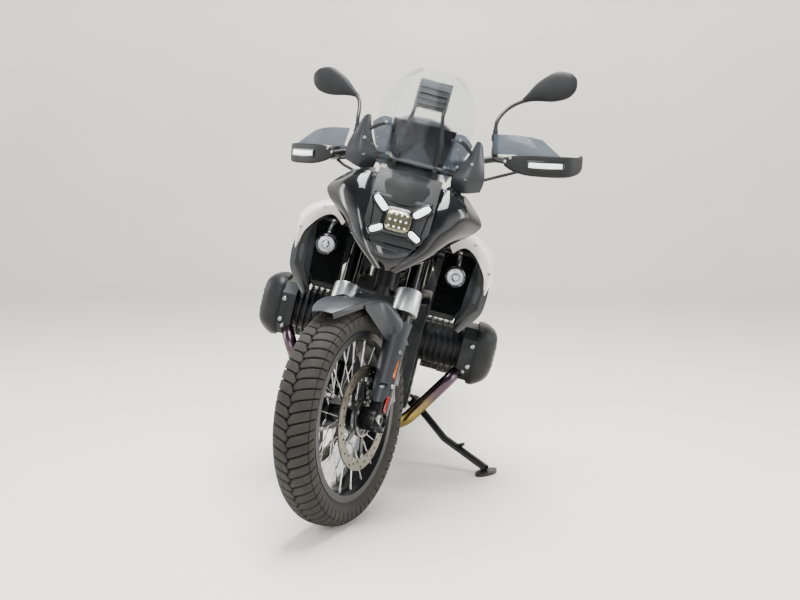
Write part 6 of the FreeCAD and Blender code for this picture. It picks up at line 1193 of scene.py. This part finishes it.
# Seats.
# Moulded foam under sewn vinyl: each seat's foam is blown up as cloth from the carried-over shape with its base held
# flat, then its sewn channels are pressed in.

# Vinyl with a leather's grain: satin and even, drawn at 1.4 mm so that it shows
vinyl = finish("seat_vinyl", ("#121314", "#17181a"), 70, (0.5, 0.62), 1.4, 0.06, {"Specular IOR Level": 0.3})
# The seat's middle has a rougher vinyl that grips: duller, with knobs of 3 mm
rib_vinyl = finish("ribbed_vinyl", ("#0e0f10", "#131415"), 70, (0.6, 0.72), 3.0, 0.2, {"Specular IOR Level": 0.25})
# The cover's squares, how far it starts inside the carried-over shape and the furthest that it swells, in millimetres
COVER_SQUARE = 5
COVER_START = 5
FURTHEST_SWELL = 9
COVER_PRESSURE = 4
HELD_BASE = 6
SMOOTHINGS = 8
# The sewn channels, and the share of a seat's height over which its top starts
CHANNEL_DEPTH = 3.5
CHANNEL_WIDTH = 5
TOP_SHARE = 0.45
SIDE_SEAM = 0.72


def even_copy(node):
    """A carried-over node's shape drawn in a little, under a mesh of even squares."""
    made = drawn_in(node, COVER_START, f"{node}_cushion")
    squares = made.modifiers.new("even_squares", "REMESH")
    squares.mode = "VOXEL"
    squares.voxel_size = COVER_SQUARE * MM
    made.data = bpy.data.meshes.new_from_object(made.evaluated_get(bpy.context.evaluated_depsgraph_get()))
    made.modifiers.clear()
    return made


def corners_of(mesh):
    """A mesh's corners as one array of points."""
    points = np.empty(len(mesh.vertices) * 3)
    mesh.vertices.foreach_get("co", points)
    return points.reshape(-1, 3)


def blown_up(made, held):
    """Swell a mesh as sewn cloth over foam for 20 frames, with some corners held.

    A corner's move is then shortened to the furthest swell, in its own direction, where it is longer."""
    start = corners_of(made.data)
    group = made.vertex_groups.new(name="held")
    group.add([int(corner) for corner in np.nonzero(held)[0]], 1.0, "REPLACE")
    cloth = made.modifiers.new("cover", "CLOTH")
    cloth.settings.use_pressure = True
    cloth.settings.uniform_pressure_force = COVER_PRESSURE
    cloth.settings.effector_weights.gravity = 0
    cloth.settings.vertex_group_mass = group.name
    cloth.point_cache.frame_start, cloth.point_cache.frame_end = 1, 20
    for step in range(1, 21):
        bpy.context.scene.frame_set(step)
    swollen = made.evaluated_get(bpy.context.evaluated_depsgraph_get()).to_mesh()
    move = corners_of(swollen) - start
    length = np.maximum(np.linalg.norm(move, axis=1, keepdims=True), 1e-9)
    made.modifiers.clear()
    made.vertex_groups.clear()
    bpy.context.scene.frame_set(1)
    made.data.vertices.foreach_set("co", (start + move * np.minimum(1, FURTHEST_SWELL * MM / length)).ravel())


def seat(node, widths, seams):
    """A seat cushion of two vinyls: how far back its half widths are, those widths, and its cross seams' places.

    A channel's depth goes with exp(-(d / width) ** 2) at a distance d from its seam."""
    made = even_copy(node)
    place = upright(corners_of(made.data), "root")
    low, high = place[:, 2].min(), place[:, 2].max()
    topside = low + TOP_SHARE * (high - low)
    blown_up(made, place[:, 2] < low + HELD_BASE)
    # Foam under the cover evens out what the cloth's short run leaves
    work = bmesh.new()
    work.from_mesh(made.data)
    for passing in range(SMOOTHINGS):
        bmesh.ops.smooth_vert(work, verts=work.verts, factor=0.5, use_axis_x=True, use_axis_y=True,
                              use_axis_z=True)
    work.to_mesh(made.data)
    work.free()
    points = corners_of(made.data)
    place = upright(points, "root")
    side_seam = SIDE_SEAM * np.interp(place[:, 1], *widths)
    apart = np.abs(np.abs(place[:, 0]) - side_seam)
    cross_seam = np.abs(place[:, 1, None] - seams).min(1)
    apart = np.where(np.abs(place[:, 0]) < side_seam, np.minimum(apart, cross_seam), apart)
    depth = np.where(place[:, 2] > topside, CHANNEL_DEPTH * np.exp(-(apart / CHANNEL_WIDTH) ** 2), 0)
    made.data.vertices.foreach_set("co", (points - np.outer(depth, machine_up) * MM).ravel())
    made.data.materials.clear()
    made.data.materials.append(vinyl)
    made.data.materials.append(rib_vinyl)
    made.data.shade_smooth()
    centres = np.empty(len(made.data.polygons) * 3)
    made.data.polygons.foreach_get("center", centres)
    centres = upright(centres.reshape(-1, 3), "root")
    middle = np.abs(centres[:, 0]) < SIDE_SEAM * np.interp(centres[:, 1], *widths)
    middle &= centres[:, 2] > topside
    made.data.polygons.foreach_set("material_index", middle.astype(np.int32))
    finer = made.modifiers.new("finer", "SUBSURF")
    finer.levels = finer.render_levels = 1
    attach(made, "root")
    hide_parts(node)


seat("rider_seat", ((856, 997, 1138, 1208), (82, 116, 150, 136)), (930, 1090))
seat("pillion_seat", ((1214, 1373, 1532), (128, 122, 90)), (1300, 1430))
